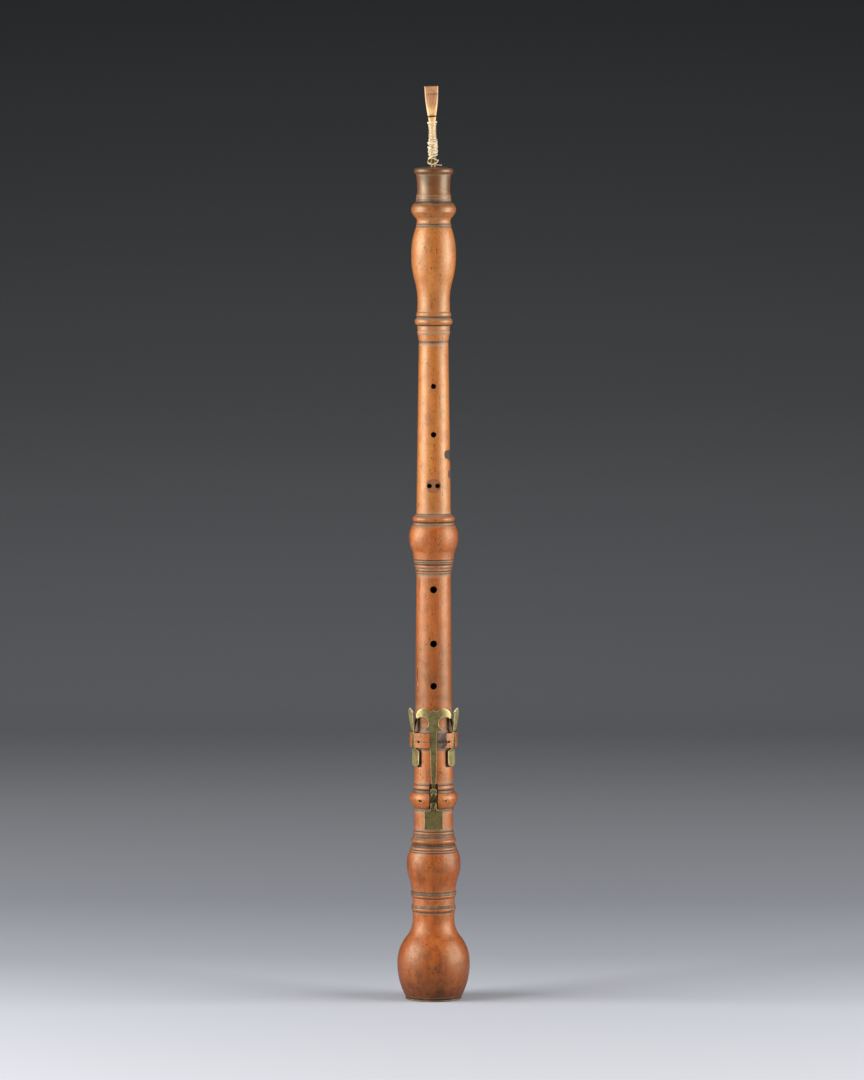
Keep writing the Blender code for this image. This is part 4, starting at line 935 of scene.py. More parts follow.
TOP_COLLAR = [
    line(0.3, 12.85),
    curve(3.4, 12.9, 0.4),
    line(0.4, 12.6),
    line(0.9, 13.3),
    curve(5.0, 12.8, 1.3),
    line(0.3, 12.35),
    line(3.2, 12.3),
    line(0.3, 12.05),
    curve(3.4, 12.0, 0.4),
    line(4.4, 11.3),
    line(0.4, 11.0),
    line(0.4, 11.2),
]
TOP_TUBE_FOOT_RADIUS = 13.05
SOCKET_RIM_RADIUS = 13.4
SOCKET_BULGE = [
    curve(2.0, 15.3, -0.15),
    curve(3.7, 15.4, 0.8),
    *groove(15.4, 0.5, 15.4),
    line(1.9, 15.6),
    line(0.3, 16.3),
    curve(9.0, 18.6, 0.65),
    curve(10.7, 16.0, 0.7),
    curve(7.7, 15.2, -0.15),
]
SOCKET_COLLAR = [
    *groove(15.2, 0.6, 14.9),
    line(1.3, 14.7),
    line(0.4, 14.15),
    curve(2.4, 14.0, 0.45),
    line(0.3, 13.6),
    line(1.4, 13.7),
    line(0.4, 13.3),
    line(0.3, 13.6),
    line(1.3, 13.5),
    line(0.4, 13.1),
]
LOWER_TUBE_FOOT_RADIUS = 14.05
KEY_RING_RADIUS = 18.2
KEY_RING_HEIGHT = 11.3
KEY_RING = [
    curve(3.6, 15.0, -0.3),
    line(0.0, KEY_RING_RADIUS - FIT),
    line(FIT, KEY_RING_RADIUS),
    line(KEY_RING_HEIGHT - 2 * FIT, KEY_RING_RADIUS),
    line(FIT, KEY_RING_RADIUS - FIT),
    line(0.0, 15.1),
]
KEY_TUBE = [line(1.5, 15.1), line(0.3, 14.6), line(26.5, 14.9)]
FLAP_RING_CAP = [
    *groove(14.9, 0.3, 15.1),
    line(1.0, 15.2),
    curve(2.0, 15.2, 0.45),
    *groove(15.2, 0.3, 15.5),
    line(1.8, 15.8),
]
FLAP_RING = [line(0.0, 16.3), curve(4.6, 18.45, 0.45), curve(7.0, 15.6, 0.5)]
LOWER_FOOT = [
    line(0.3, 15.1),
    line(1.4, 15.2),
    line(0.3, 14.9),
    line(15.6, 14.8),
    *groove(14.8, 0.2, 15.3),
    curve(1.8, 15.5, 0.15),
    *groove(15.5, 0.3, 15.6),
    line(1.1, 15.8),
    line(0.3, 15.5),
    curve(1.7, 16.6, -0.2),
    curve(3.2, 16.4, 0.75),
    line(0.4, 16.0),
    line(0.7, 16.1),
]
BELL_RIM_RADIUS = 16.3
BELL_SOCKET_BULGE = [
    line(0.9, 16.9),
    *groove(16.9, 0.3, 17.1),
    curve(1.6, 17.6, 0.2),
    *groove(17.6, 0.3, 17.9),
    curve(11.6, 20.45, 0.75),
    curve(11.0, 18.3, 0.6),
    curve(7.9, 16.75, -0.1),
    line(1.4, 16.6),
    line(0.2, 17.1),
    line(1.6, 17.35),
    line(0.3, 16.85),
    curve(2.0, 16.6, 0.3),
    line(0.3, 16.1),
    line(5.7, 16.05),
    line(1.5, 16.8),
    line(0.3, 16.45),
    curve(2.2, 16.7, 0.35),
    line(0.3, 16.3),
    line(1.0, 16.0),
    line(4.2, 15.8),
]
BASE_RADIUS = 21.35
BASE_BEAD = [
    line(0.3, BASE_RADIUS - 0.5),
    line(0.2, BASE_RADIUS - 0.1),
    line(0.8, BASE_RADIUS),
    line(0.3, BASE_RADIUS - 0.25),
]
FLAP_RING_FOOT = BELL_LENGTH + SEAM + length_of(LOWER_FOOT)
KEY_RING_FOOT = FLAP_RING_FOOT + length_of(FLAP_RING + FLAP_RING_CAP + KEY_TUBE)
KEY_RING_TOP = KEY_RING_FOOT + KEY_RING_HEIGHT
print("ring heights, mm:", round(FLAP_RING_FOOT, 2), round(KEY_RING_FOOT, 2), round(TOP, 2))

# %% [markdown]
# ## Where dirt and stain sit
# Dirt lies in bands at known heights: in the coves under each bead, along the fillets and in every scribed
# line. Stain is a slow change from joint to joint. Both are plain functions of height, stored on the mesh.

# %% Grime and stain by height
GREY, BROWN, DARK = 0.62, 0.82, 0.97
GRIME_BANDS = [
    (609.6, 609.0, 0.8),
    (607.4, 603.0, BROWN),
    (593.0, 592.2, 0.4),
    (588.2, 587.4, DARK),
    (587.4, 585.6, GREY),
    (540.5, 540.1, 0.3),
    (522.8, 522.2, 0.5),
    (518.9, 518.2, DARK),
    (518.2, 516.2, GREY),
    (512.2, 511.3, DARK),
    (508.4, 504.8, 0.5),
    (499.9, 499.0, DARK),
    (369.6, 367.0, GREY),
    (363.4, 362.7, DARK),
    (362.7, 360.2, GREY),
    (335.2, 334.2, DARK),
    (333.6, 331.9, GREY),
    (331.6, 330.7, DARK),
    (329.1, 327.0, GREY),
    (326.6, 325.8, DARK),
    (324.7, 323.6, 0.8),
    (208.6, 203.7, GREY),
    (192.6, 190.6, 0.5),
    (164.7, 163.8, 0.8),
    (161.8, 160.9, 0.8),
    (160.4, 157.9, BROWN),
    (146.9, 144.3, BROWN),
    (129.2, 128.3, 0.8),
    (127.3, 126.5, 0.8),
    (125.6, 123.2, BROWN),
    (119.8, 118.9, 0.8),
    (118.9, 117.6, DARK),
    (117.3, 116.2, 0.8),
    (114.9, 114.0, 0.8),
    (113.4, 112.3, DARK),
    (82.9, 79.9, BROWN),
    (77.9, 77.0, DARK),
    (72.3, 69.9, BROWN),
    (67.9, 66.2, BROWN),
    (2.7, 1.2, DARK),
    (0.9, -0.5, BROWN),
]
STAIN_HEIGHTS = [
    (0.0, 0.85),
    (14.0, 0.6),
    (34.0, 0.32),
    (60.0, 0.1),
    (84.0, 0.15),
    (100.0, 0.35),
    (118.0, 0.2),
    (150.0, 0.05),
    (190.0, 0.0),
    (206.0, 0.1),
    (222.0, 0.15),
    (230.0, 0.45),
    (262.0, 0.3),
    (290.0, 0.05),
    (320.0, 0.1),
    (345.0, 0.0),
    (372.0, 0.1),
    (400.0, 0.0),
    (500.0, 0.0),
    (520.0, 0.2),
    (545.0, 0.0),
    (580.0, 0.0),
    (594.0, 0.2),
    (606.0, 0.7),
    (620.0, 0.85),
    (632.0, 0.85),
]


def grime_at(height):
    """How dirty the turned surface is at a height: the deepest band there, with soft edges."""
    amount = 0.0
    for top, foot, value in GRIME_BANDS:
        beyond = max(height - top, foot - height, 0.0)
        amount = max(amount, value * (1.0 - min(beyond / 0.35, 1.0)))
    return amount


def stain_at(height):
    """How deep the stain is at a height, between the listed ones."""
    heights = [entry[0] for entry in STAIN_HEIGHTS]
    place = min(max(bisect.bisect(heights, height), 1), len(heights) - 1)
    (low, before), (high, after) = STAIN_HEIGHTS[place - 1], STAIN_HEIGHTS[place]
    share = min(max((height - low) / (high - low), 0.0), 1.0)
    return before + (after - before) * share


def grime_and_key_shadow_on(point):
    """Grime at a point, by height and on the crown inside the finial's lip, and a painted shadow behind the side
    touches.
    """
    radius, azimuth = math.hypot(point.x, point.y), math.degrees(math.atan2(abs(point.x), -point.y))
    if point.z > TOP + 0.1 and radius < LIP_RADIUS - 0.5:
        return 0.85
    rise = point.z - KEY_RING_TOP
    # Behind the side touches the tube gets a painted shadow, darkest towards the sides of the key ring.
    painted_key_shadow = 0.0
    if 0.0 < rise < 22.0:
        across = min(max(2.2 - abs(azimuth - 60.0) / 10.0, 0.0), 1.0)
        painted_key_shadow = 0.85 * across * min((22.0 - rise) / 8.0, 1.0)
    return max(grime_at(point.z), painted_key_shadow)


def finish_wood(piece, material, body, slot, node):
    """Write grime, with its painted shadow behind the side touches, and stain on a turned joint and hang it on its
    body.
    """
    write_attribute(piece, "grime", grime_and_key_shadow_on)
    write_attribute(piece, "stain", lambda point: stain_at(point.z))
    return finish_piece(piece, material, body, slot, node)


# %% [markdown]
# ## The bell
# The bell of this instrument is a closed bulb, which gives it its covered, sweet tone. It is turned inside
# and out: a wide hollow behind a narrower mouth. It stands on the flat ring of its base.

# %% Bell
MOUTH_RADIUS = 14.0
MOUTH_LIP = 3.0
EDGE = 0.6
HOLLOW = (21.5, 26.0)
HOLLOW_SHOULDER = (17.5, 42.0)
THROAT = (9.0, 60.0)
THROAT_TOP_RADIUS = 8.3
SOCKET_CLEARANCE = 0.4
LOWER_TENON_RADIUS = 12.2
UPPER_TENON_RADIUS = 10.6
BULB = [curve(14.7, 20.2, -1.4), None, curve(25.4, BASE_RADIUS - 0.15, 1.65)]
BULB[1] = curve(BELL_LENGTH - length_of(BELL_SOCKET_BULGE + BASE_BEAD) - 14.7 - 25.4, 27.55, 2.0)


def bell_outline():
    """The bell's outline: down the outside, and back up through the mouth, the hollow and the socket."""
    outside = turn((BELL_RIM_RADIUS, BELL_LENGTH), BELL_SOCKET_BULGE + BULB + BASE_BEAD)
    lip_top = (MOUTH_RADIUS, MOUTH_LIP)
    floor = LOWER_FOOT_HEIGHT - SEAM - SOCKET_CLEARANCE
    socket = LOWER_TENON_RADIUS + SOCKET_CLEARANCE
    inside = [(MOUTH_RADIUS + EDGE, 0.0), (MOUTH_RADIUS, EDGE), lip_top]
    inside += arc_between(lip_top, HOLLOW, -1.9, 2.0)
    inside += arc_between(HOLLOW, HOLLOW_SHOULDER, -1.0, 2.0)
    inside += arc_between(HOLLOW_SHOULDER, THROAT, 1.0, 2.0)
    return outside + inside + [(THROAT_TOP_RADIUS, floor), (socket, floor), (socket, BELL_LENGTH)]


bell = spin_outline("bell_wood", bell_outline())
bell.data.materials.append(BOXWOOD_BELL)
break_edges(bell, 0.08)
finish_wood(bell, BOXWOOD_BELL, "bell", "boxwood_bell", "bell")

# %% [markdown]
# ## The top joint
# The finial widens to a rolled lip round the reed well. Under it a great bead, a long baluster and a collar
# lead to the plain tube with the finger holes. The third hole is a pair of small ones in a shallow dish, so
# that a finger can cover one or both.

# %% Top joint
WELL_RADIUS = 4.05
WELL_DEPTH = 22.0
TENON_COLLAR = 3.0
LAPPING_BED_DEPTH = 0.9
SINGLE_HOLES = [(466.0, 4.0), (429.6, 4.3)]
TWIN_HOLES = (390.9, 3.5, 5.9)
DISH_RADIUS = 5.3
DISH_FLOOR = 12.4
BURNS = [
    (86.0, 413.7, 17.5, 7.0),
    (68.0, 414.0, 18.7, 7.4),
    (53.0, 414.5, 19.5, 7.8),
    (71.0, 399.5, 22.5, 10.4),
]


def tenon(length, radius):
    """A tenon below its shoulder, with a sunk bed for the thread between two collars."""
    bed = radius - LAPPING_BED_DEPTH
    collar = line(TENON_COLLAR, radius)
    return [line(0.0, radius), collar, line(0.0, bed), line(length - 2 * TENON_COLLAR, bed), line(0.0, radius), collar]


def top_outline():
    upper = FINIAL + BALUSTER + TOP_COLLAR
    tube = TOP - LOWER_TOP - SEAM - length_of(upper)
    shoulder = LOWER_TOP + SEAM
    outside = turn(
        (LIP_RADIUS, TOP),
        upper + [line(tube, TOP_TUBE_FOOT_RADIUS)] + tenon(shoulder - TOP_FOOT_HEIGHT, UPPER_TENON_RADIUS),
    )
    inside = [
        (4.9, TOP_FOOT_HEIGHT),
        (3.05, TOP - WELL_DEPTH),
        (WELL_RADIUS, TOP - WELL_DEPTH),
        (WELL_RADIUS, CROWN_HEIGHT - EDGE),
        (WELL_RADIUS + EDGE, CROWN_HEIGHT),
        (CROWN_RADIUS, CROWN_HEIGHT),
        (LIP_RADIUS - 1.0, TOP + 0.15),
    ]
    return outside + inside


def finger_hole(height, diameter, across=0.0, angle=0.0):
    """The drill for a finger hole or tone hole, from outside the wall to the bore."""
    tool = rod("drill", (across, -24.0, height), (across, 0.0, height), diameter / 2, 40)
    return turned(tool, angle)


top = spin_outline("top_joint_wood", top_outline())
top.data.materials.append(BOXWOOD_TOP)
dish = rod("dish", (0.0, -24.0, TWIN_HOLES[0]), (0.0, 0.0, TWIN_HOLES[0]), DISH_RADIUS, 64)
core = rod("dish floor", (0.0, 0.0, TWIN_HOLES[0] - 9.0), (0.0, 0.0, TWIN_HOLES[0] + 9.0), DISH_FLOOR, 128)
carve(top, carve(dish, core), finish=HANDLED_WOOD)
for azimuth, height, reach, radius in BURNS:
    angle = math.radians(azimuth)
    centre = (reach * math.sin(angle), -reach * math.cos(angle), height)
    carve(top, ball("burn", centre, (radius, radius, radius), 64), finish=BURNT_WOOD)
for height, diameter in SINGLE_HOLES:
    carve(top, finger_hole(height, diameter), finish=BORED_WOOD)
for side in (-0.5, 0.5):
    carve(top, finger_hole(TWIN_HOLES[0], TWIN_HOLES[1], side * TWIN_HOLES[2]), finish=BORED_WOOD)
break_edges(top, 0.1)
finish_wood(top, BOXWOOD_TOP, "top", "boxwood_top", "top_joint")

# %% [markdown]
# ## The lower joint
# Two rings stand proud of the tube to carry the keys: a square one and a bulged one. Each key sits in a slot
# sawn through its ring and turns on a pin driven in from the side. A piece of the square ring has broken
# away beside the long key, which bares the pin.

# %% Sizes of the key work
TOUCH_PIVOT = (-14.2, KEY_RING_FOOT + 4.7)
FLAP_PIVOT = (-15.2, FLAP_RING_FOOT + 6.1)
SIDE_PIVOT = (-15.5, KEY_RING_FOOT + 6.8)
SIDE_KEY_ANGLE = math.radians(57.5)
FLAP_OPEN = math.radians(14.0)
LUG_RADIUS = 1.9
PIN_RADIUS = 0.75
PIN_CLEARANCE = 0.2
SHANK_HALF_WIDTH = 2.6
GREAT_SLOT = SHANK_HALF_WIDTH + 0.35
FLAP_SLOT = 2.65 + 0.6
FLAP_TOP = FLAP_PIVOT[1] - 6.9
FLAP_LENGTH = 14.6
FLAP_WIDTH = 14.6
GREAT_SEAT_DEPTH = 13.6
SIDE_FLAP_TOP = KEY_RING_FOOT - 1.7
SIDE_FLAP_LENGTH = 12.6
SIDE_FLAP_HALF_WIDTH = 4.6
SIDE_SEAT_DEPTH = 13.9
SIDE_PIN_REACH = 5.8
LOWER_HOLES = [(312.5, 5.4), (271.5, 5.35), (239.5, 5.2)]
OUTSIDE = -22.0


def lower_outline():
    upper = SOCKET_BULGE + SOCKET_COLLAR
    keyed = KEY_RING + KEY_TUBE + FLAP_RING_CAP + FLAP_RING + LOWER_FOOT
    shoulder = BELL_LENGTH + SEAM
    tube = LOWER_TOP - shoulder - length_of(upper + keyed)
    outside = turn(
        (SOCKET_RIM_RADIUS, LOWER_TOP),
        upper
        + [line(tube, LOWER_TUBE_FOOT_RADIUS)]
        + keyed
        + tenon(shoulder - LOWER_FOOT_HEIGHT, LOWER_TENON_RADIUS),
    )
    floor = TOP_FOOT_HEIGHT - SEAM - SOCKET_CLEARANCE
    socket = UPPER_TENON_RADIUS + SOCKET_CLEARANCE
    return outside + [(7.9, LOWER_FOOT_HEIGHT), (5.1, floor), (socket, floor), (socket, LOWER_TOP)]


def chip_tool():
    """A ragged wedge with the shape of what broke out of the key ring."""
    corners = [
        (GREAT_SLOT - 1.0, OUTSIDE, KEY_RING_TOP + 0.6),
        (GREAT_SLOT + 7.3, OUTSIDE, KEY_RING_TOP + 0.6),
        (GREAT_SLOT + 6.7, OUTSIDE, KEY_RING_TOP - 2.8),
        (GREAT_SLOT + 7.5, OUTSIDE, TOUCH_PIVOT[1] - 1.0),
        (GREAT_SLOT + 6.6, OUTSIDE, TOUCH_PIVOT[1] - 3.0),
        (GREAT_SLOT + 5.7, OUTSIDE, KEY_RING_FOOT - 0.6),
        (GREAT_SLOT - 1.0, OUTSIDE, KEY_RING_FOOT - 0.6),
    ]
    depth = TOUCH_PIVOT[0] + PIN_RADIUS - OUTSIDE
    tool = push_out("chip", corners, [(0.0, depth, 0.0)])
    make_active(tool)
    bpy.ops.object.mode_set(mode="EDIT")
    bpy.ops.mesh.select_all(action="SELECT")
    bpy.ops.mesh.quads_convert_to_tris()
    bpy.ops.mesh.subdivide(number_cuts=5)
    bpy.ops.object.mode_set(mode="OBJECT")
    for vertex in tool.data.vertices:
        push = noise.noise_vector(vertex.co / (1.7 * MM)) * 0.5 * MM
        vertex.co += Vector((push.x * 0.5, push.y, push.z * 0.5))
    return tool


def pin_drill(pivot, reach, near=None):
    near = -reach if near is None else near
    return rod("pin drill", (near, *pivot), (reach, *pivot), PIN_RADIUS + PIN_CLEARANCE, 32)


# %% Lower joint
def cut_key_work(wood):
    """Saw the slots, cut the pad seats, drill the pins and bore the tone holes."""
    great_floor = TOUCH_PIVOT[0] + LUG_RADIUS + FIT
    flap_floor = FLAP_PIVOT[0] + LUG_RADIUS + FIT
    side_floor = SIDE_PIVOT[0] + LUG_RADIUS + FIT
    cap_top = FLAP_RING_FOOT + length_of(FLAP_RING + FLAP_RING_CAP) + 1.3
    low, high = KEY_RING_FOOT - 0.6, KEY_RING_TOP + 0.6
    carve(wood, chip_tool(), finish=BROKEN_WOOD)
    carve(wood, block("saw", (-GREAT_SLOT, OUTSIDE, low), (GREAT_SLOT, great_floor, high)), finish=SAWN_WOOD)
    carve(
        wood,
        block("saw", (-FLAP_SLOT, OUTSIDE, FLAP_TOP - 0.5), (FLAP_SLOT, flap_floor, cap_top)),
        finish=SAWN_WOOD,
    )
    seat_foot = FLAP_TOP - FLAP_LENGTH - 1.0
    carve(
        wood,
        block(
            "seat cutter",
            (-FLAP_WIDTH / 2, OUTSIDE, seat_foot),
            (FLAP_WIDTH / 2, -GREAT_SEAT_DEPTH, FLAP_TOP - 0.2),
        ),
        finish=SEAT_WOOD,
    )
    carve(wood, finger_hole(FLAP_TOP - FLAP_LENGTH / 2, 7.4), finish=BORED_WOOD)
    for height, diameter in LOWER_HOLES:
        carve(wood, finger_hole(height, diameter), finish=BORED_WOOD)
    carve(wood, pin_drill(TOUCH_PIVOT, 19.0), finish=BORED_WOOD)
    carve(wood, pin_drill(FLAP_PIVOT, 19.0), finish=BORED_WOOD)
    half_seat = SIDE_FLAP_HALF_WIDTH + FIT
    for sign in (-1, 1):
        angle = sign * SIDE_KEY_ANGLE
        saw = block("saw", (-1.65, OUTSIDE, low), (1.65, side_floor, high))
        carve(wood, turned(saw, angle), finish=SAWN_WOOD)
        seat = block(
            "seat cutter",
            (-half_seat, OUTSIDE, SIDE_FLAP_TOP - SIDE_FLAP_LENGTH - 0.6),
            (half_seat, -SIDE_SEAT_DEPTH, SIDE_FLAP_TOP + 0.4),
        )
        carve(wood, turned(seat, angle), finish=SEAT_WOOD)
        carve(wood, finger_hole(SIDE_FLAP_TOP - SIDE_FLAP_LENGTH / 2, 5.2, 0.0, angle), finish=BORED_WOOD)
        drill = pin_drill(SIDE_PIVOT, sign * 19.0, -sign * (SIDE_PIN_REACH + FIT))
        carve(wood, turned(drill, angle), finish=BORED_WOOD)


lower = spin_outline("lower_joint_wood", lower_outline())
lower.data.materials.append(BOXWOOD_LOWER)
scribe = [(KEY_RING_RADIUS - 0.25, TOUCH_PIVOT[1] + 0.15), (KEY_RING_RADIUS - 0.25, TOUCH_PIVOT[1] - 0.15)]
scribe += [(KEY_RING_RADIUS + 1.0, TOUCH_PIVOT[1] - 0.15), (KEY_RING_RADIUS + 1.0, TOUCH_PIVOT[1] + 0.15)]
carve(lower, spin_outline("scribed line", scribe), finish=BORED_WOOD)
for azimuth, height, length in ((-56.0, 316.0, 5.5), (-62.0, 247.0, 8.0), (-59.0, 236.0, 5.0)):
    angle = math.radians(azimuth)
    centre = (13.4 * math.sin(angle), -13.4 * math.cos(angle), height)
    carve(lower, ball("split", centre, (0.5, 0.5, length)), finish=SPLIT_WOOD)
cut_key_work(lower)
break_edges(lower, 0.1)
finish_wood(lower, BOXWOOD_LOWER, "lower", "boxwood_lower", "lower_joint")

# %% [markdown]
# ## The great key
# The long key is two levers. The touch has two wings, bent round the tube so that either hand's little
# finger finds one, with a round eye cut out of each. Its tail runs under the head of a second lever, which
# carries the square flap. The touch is made as its maker made it: sawn from flat sheet to a drawn outline,
# filed along the edges, which is what shines in the picture, and bent last.
# Its filed edges are coloured lighter than the sheet, partly as rubbed brass and partly as a painted highlight.

# %% Great key, touch lever
def circle_points(centre, radius, start, end, spacing=0.45):
    """Points on a circle between two angles, in degrees, both ends included."""
    steps = max(4, math.ceil(abs(math.radians(end - start)) * radius / spacing))
    points = []
    for step in range(steps + 1):
        angle = math.radians(start + (end - start) * step / steps)
        points.append((centre[0] + radius * math.cos(angle), centre[1] + radius * math.sin(angle)))
    return points


def mirrored(half):
    """Close a right-hand half outline with its mirror image."""
    return half + [(-x, z) for x, z in reversed(half) if abs(x) > 1e-6]


def front_bar(name, outline):
    """A bar with an outline seen from the front, through the whole depth of the keys."""
    return push_out(name, [(x, -26.0, z) for x, z in outline], [(0.0, 18.0, 0.0)])


def side_bar(name, profile, half_width):
    """A bar with a profile seen from the side, pushed across x."""
    return push_out(name, [(-half_width, y, z) for y, z in profile], [(2 * half_width, 0.0, 0.0)])


SHANK_OUTER = 17.3
SHANK_THICKNESS = 1.6
TAIL_OUTER = 15.0
TAIL_THICKNESS = 1.1
TOUCH_OUTER = 19.4
TOUCH_THICKNESS = 1.3
WING_BEND_RADIUS = 14.0
WING_STRIPS = 16
STRIP_WIDTH = 0.7
ARM_TOP = FLAP_PIVOT[1] + 9.4
TAIL_TIP = FLAP_PIVOT[1] + 7.0


def touch_outline():
    wing = (7.2, KEY_RING_TOP + 13.3)
    eye = (8.6, KEY_RING_TOP + 7.9)
    half = [(0.0, KEY_RING_TOP + 18.5), (1.3, KEY_RING_TOP + 16.9)]
    half += circle_points(wing, 6.0, 141, -18)
    half += circle_points(eye, 4.85, 42, 252)
    half += [
        (7.2, KEY_RING_TOP + 2.9),
        (6.7, KEY_RING_TOP + 2.55),
        (5.0, KEY_RING_TOP + 2.3),
        (3.4, KEY_RING_TOP + 1.9),
        (SHANK_HALF_WIDTH, KEY_RING_TOP + 1.1),
        (SHANK_HALF_WIDTH, KEY_RING_FOOT),
        (1.85, ARM_TOP + 5.2),
        (1.2, ARM_TOP + 2.2),
        (1.2, TAIL_TIP + 0.4),
        (0.8, TAIL_TIP),
    ]
    return mirrored(half)


def touch_profile():
    inner = -SHANK_OUTER + SHANK_THICKNESS
    profile = [
        (-TOUCH_OUTER, KEY_RING_TOP + 21.0),
        (-TOUCH_OUTER, KEY_RING_TOP + 5.5),
        (-SHANK_OUTER, KEY_RING_TOP + 0.5),
        (-SHANK_OUTER, ARM_TOP + 3.6),
        (-TAIL_OUTER, ARM_TOP + 0.9),
        (-TAIL_OUTER, TAIL_TIP - 1.0),
        (-TAIL_OUTER + TAIL_THICKNESS, TAIL_TIP - 1.0),
        (-TAIL_OUTER + TAIL_THICKNESS, ARM_TOP + 0.6),
        (inner, ARM_TOP + 3.2),
    ]
    profile += circle_points(TOUCH_PIVOT, LUG_RADIUS, 222, 498)
    return profile + [
        (inner, KEY_RING_TOP - 0.5),
        (-TOUCH_OUTER + TOUCH_THICKNESS, KEY_RING_TOP + 5.0),
        (-TOUCH_OUTER + TOUCH_THICKNESS, KEY_RING_TOP + 21.0),
    ]


def bend_wings(piece):
    """Mark the flat sheet into narrow upright strips, then bend both wings back. The shank stays flat."""
    make_active(piece)
    bpy.ops.object.mode_set(mode="EDIT")
    for strip in range(WING_STRIPS):
        across = (SHANK_HALF_WIDTH + STRIP_WIDTH * (strip + 0.5)) * MM
        for side in (-across, across):
            bpy.ops.mesh.select_all(action="SELECT")
            bpy.ops.mesh.bisect(plane_co=(side, 0.0, 0.0), plane_no=(1.0, 0.0, 0.0), threshold=0.001 * MM)
    bpy.ops.object.mode_set(mode="OBJECT")
    for vertex in piece.data.vertices:
        beyond = max(abs(vertex.co.x) - SHANK_HALF_WIDTH * MM, 0.0)
        vertex.co.y += beyond * beyond / (2 * WING_BEND_RADIUS * MM)


def rubbed_at(point):
    """Fingers keep the touches bright. Between the rings the brass darkens, and at the link it is black."""
    if point.z > KEY_RING_TOP + 1.0:
        return min(0.3 + (point.z - KEY_RING_TOP) / 160.0, 0.4)
    if FLAP_PIVOT[1] - 5.5 < point.z < FLAP_PIVOT[1] + 7.5:
        return 0.05
    return 0.3


def finish_key(piece, body, node, edge, bend=None):
    """File a key's edges, bend it, write where it is rubbed, and hang it on its body."""
    coat(piece, KEY_BRASS)
    break_edges(piece, edge, 2, 50.0, FILED_EDGE_HIGHLIGHT)
    if bend:
        bend(piece)
    even = piece.modifiers.new("even shading", "WEIGHTED_NORMAL")
    even.keep_sharp = True
    bpy.ops.object.modifier_apply(modifier=even.name)
    write_attribute(piece, "rubbed", rubbed_at)
    return finish_piece(piece, KEY_BRASS, body, "brass", node)


touch = side_bar("great_key_touch_brass", touch_profile(), 14.0)
carve(touch, front_bar("touch outline", touch_outline()), "INTERSECT")
carve(touch, pin_drill(TOUCH_PIVOT, 9.0))
finish_key(touch, "great_touch", "great_key_touch", 0.34, bend_wings)


# %% Great key, flap lever
def swing(point, pivot, angle):
    """Turn a (y, z) point about a pivot so that what lies below it moves outwards."""
    offset = Vector(point) - Vector(pivot)
    y = offset.x * math.cos(angle) + offset.y * math.sin(angle)
    z = -offset.x * math.sin(angle) + offset.y * math.cos(angle)
    return (pivot[0] + y, pivot[1] + z)


PAD_TO_BRASS = 0.2
GREAT_FLAP_INNER = GREAT_SEAT_DEPTH + FIT + 1.5 + PAD_TO_BRASS
GREAT_FLAP_OUTER = GREAT_FLAP_INNER + 1.3
ARM_INNER = -TAIL_OUTER - FIT - 0.15
ARM_THICKNESS = 1.65


def flap_outline():
    z = FLAP_PIVOT[1]
    half = [
        (0.0, z + 8.9),
        (0.5, z + 9.25),
        (1.0, z + 9.4),
        (1.6, z + 9.3),
        (2.0, z + 9.0),
        (2.35, z + 8.0),
        (2.35, z + 5.2),
        (2.0, z + 3.6),
        (2.65, z + 2.6),
        (2.65, z),
        (2.35, z - 5.0),
    ]
    half += arc_between(half[-1], (3.6, z - 6.7), -0.35, 0.4)
    half += [(FLAP_WIDTH / 2, FLAP_TOP), (FLAP_WIDTH / 2, FLAP_TOP - FLAP_LENGTH + 0.5)]
    return mirrored(half + [(0.0, FLAP_TOP - FLAP_LENGTH)])


def flap_profile():
    foot = FLAP_TOP - FLAP_LENGTH - 2.0
    profile = [
        (ARM_INNER - ARM_THICKNESS, FLAP_PIVOT[1] + 10.4),
        (ARM_INNER - ARM_THICKNESS, FLAP_PIVOT[1] + 0.5),
        swing((-GREAT_FLAP_OUTER, FLAP_TOP + 1.0), FLAP_PIVOT, FLAP_OPEN),
        swing((-GREAT_FLAP_OUTER, foot), FLAP_PIVOT, FLAP_OPEN),
        swing((-GREAT_FLAP_INNER, foot), FLAP_PIVOT, FLAP_OPEN),
        swing((-GREAT_FLAP_INNER, FLAP_PIVOT[1] - LUG_RADIUS), FLAP_PIVOT, FLAP_OPEN),
    ]
    profile += circle_points(FLAP_PIVOT, LUG_RADIUS, 260, 455)
    return profile + [(ARM_INNER, FLAP_PIVOT[1] + 2.6), (ARM_INNER, FLAP_PIVOT[1] + 10.4)]


flap = side_bar("great_key_flap_brass", flap_profile(), 8.0)
carve(flap, front_bar("flap outline", flap_outline()), "INTERSECT")
carve(flap, pin_drill(FLAP_PIVOT, 9.0))
scoop = swing((-GREAT_FLAP_OUTER - 0.3, FLAP_PIVOT[1] - 3.6), FLAP_PIVOT, FLAP_OPEN)
carve(flap, ball("scoop", (0.0, *scoop), (1.5, 1.1, 2.6)))
coat(flap, KEY_BRASS)
dome = ball("dome", (0.0, ARM_INNER - ARM_THICKNESS, FLAP_PIVOT[1] + 5.0), (1.35, 0.8, 1.35))
carve(flap, dome, "UNION", KEY_BRASS)
finish_key(flap, "great_flap", "great_key_flap", 0.5)


# %% [markdown]
# ## The side keys
# Two short keys of the same pattern flank the great key, one for each way of holding the instrument. Each
# is a leaf-shaped touch, a straight lever in its slot and a flap with a rounded end. They are modelled in
# front of the bore and then turned to their places.

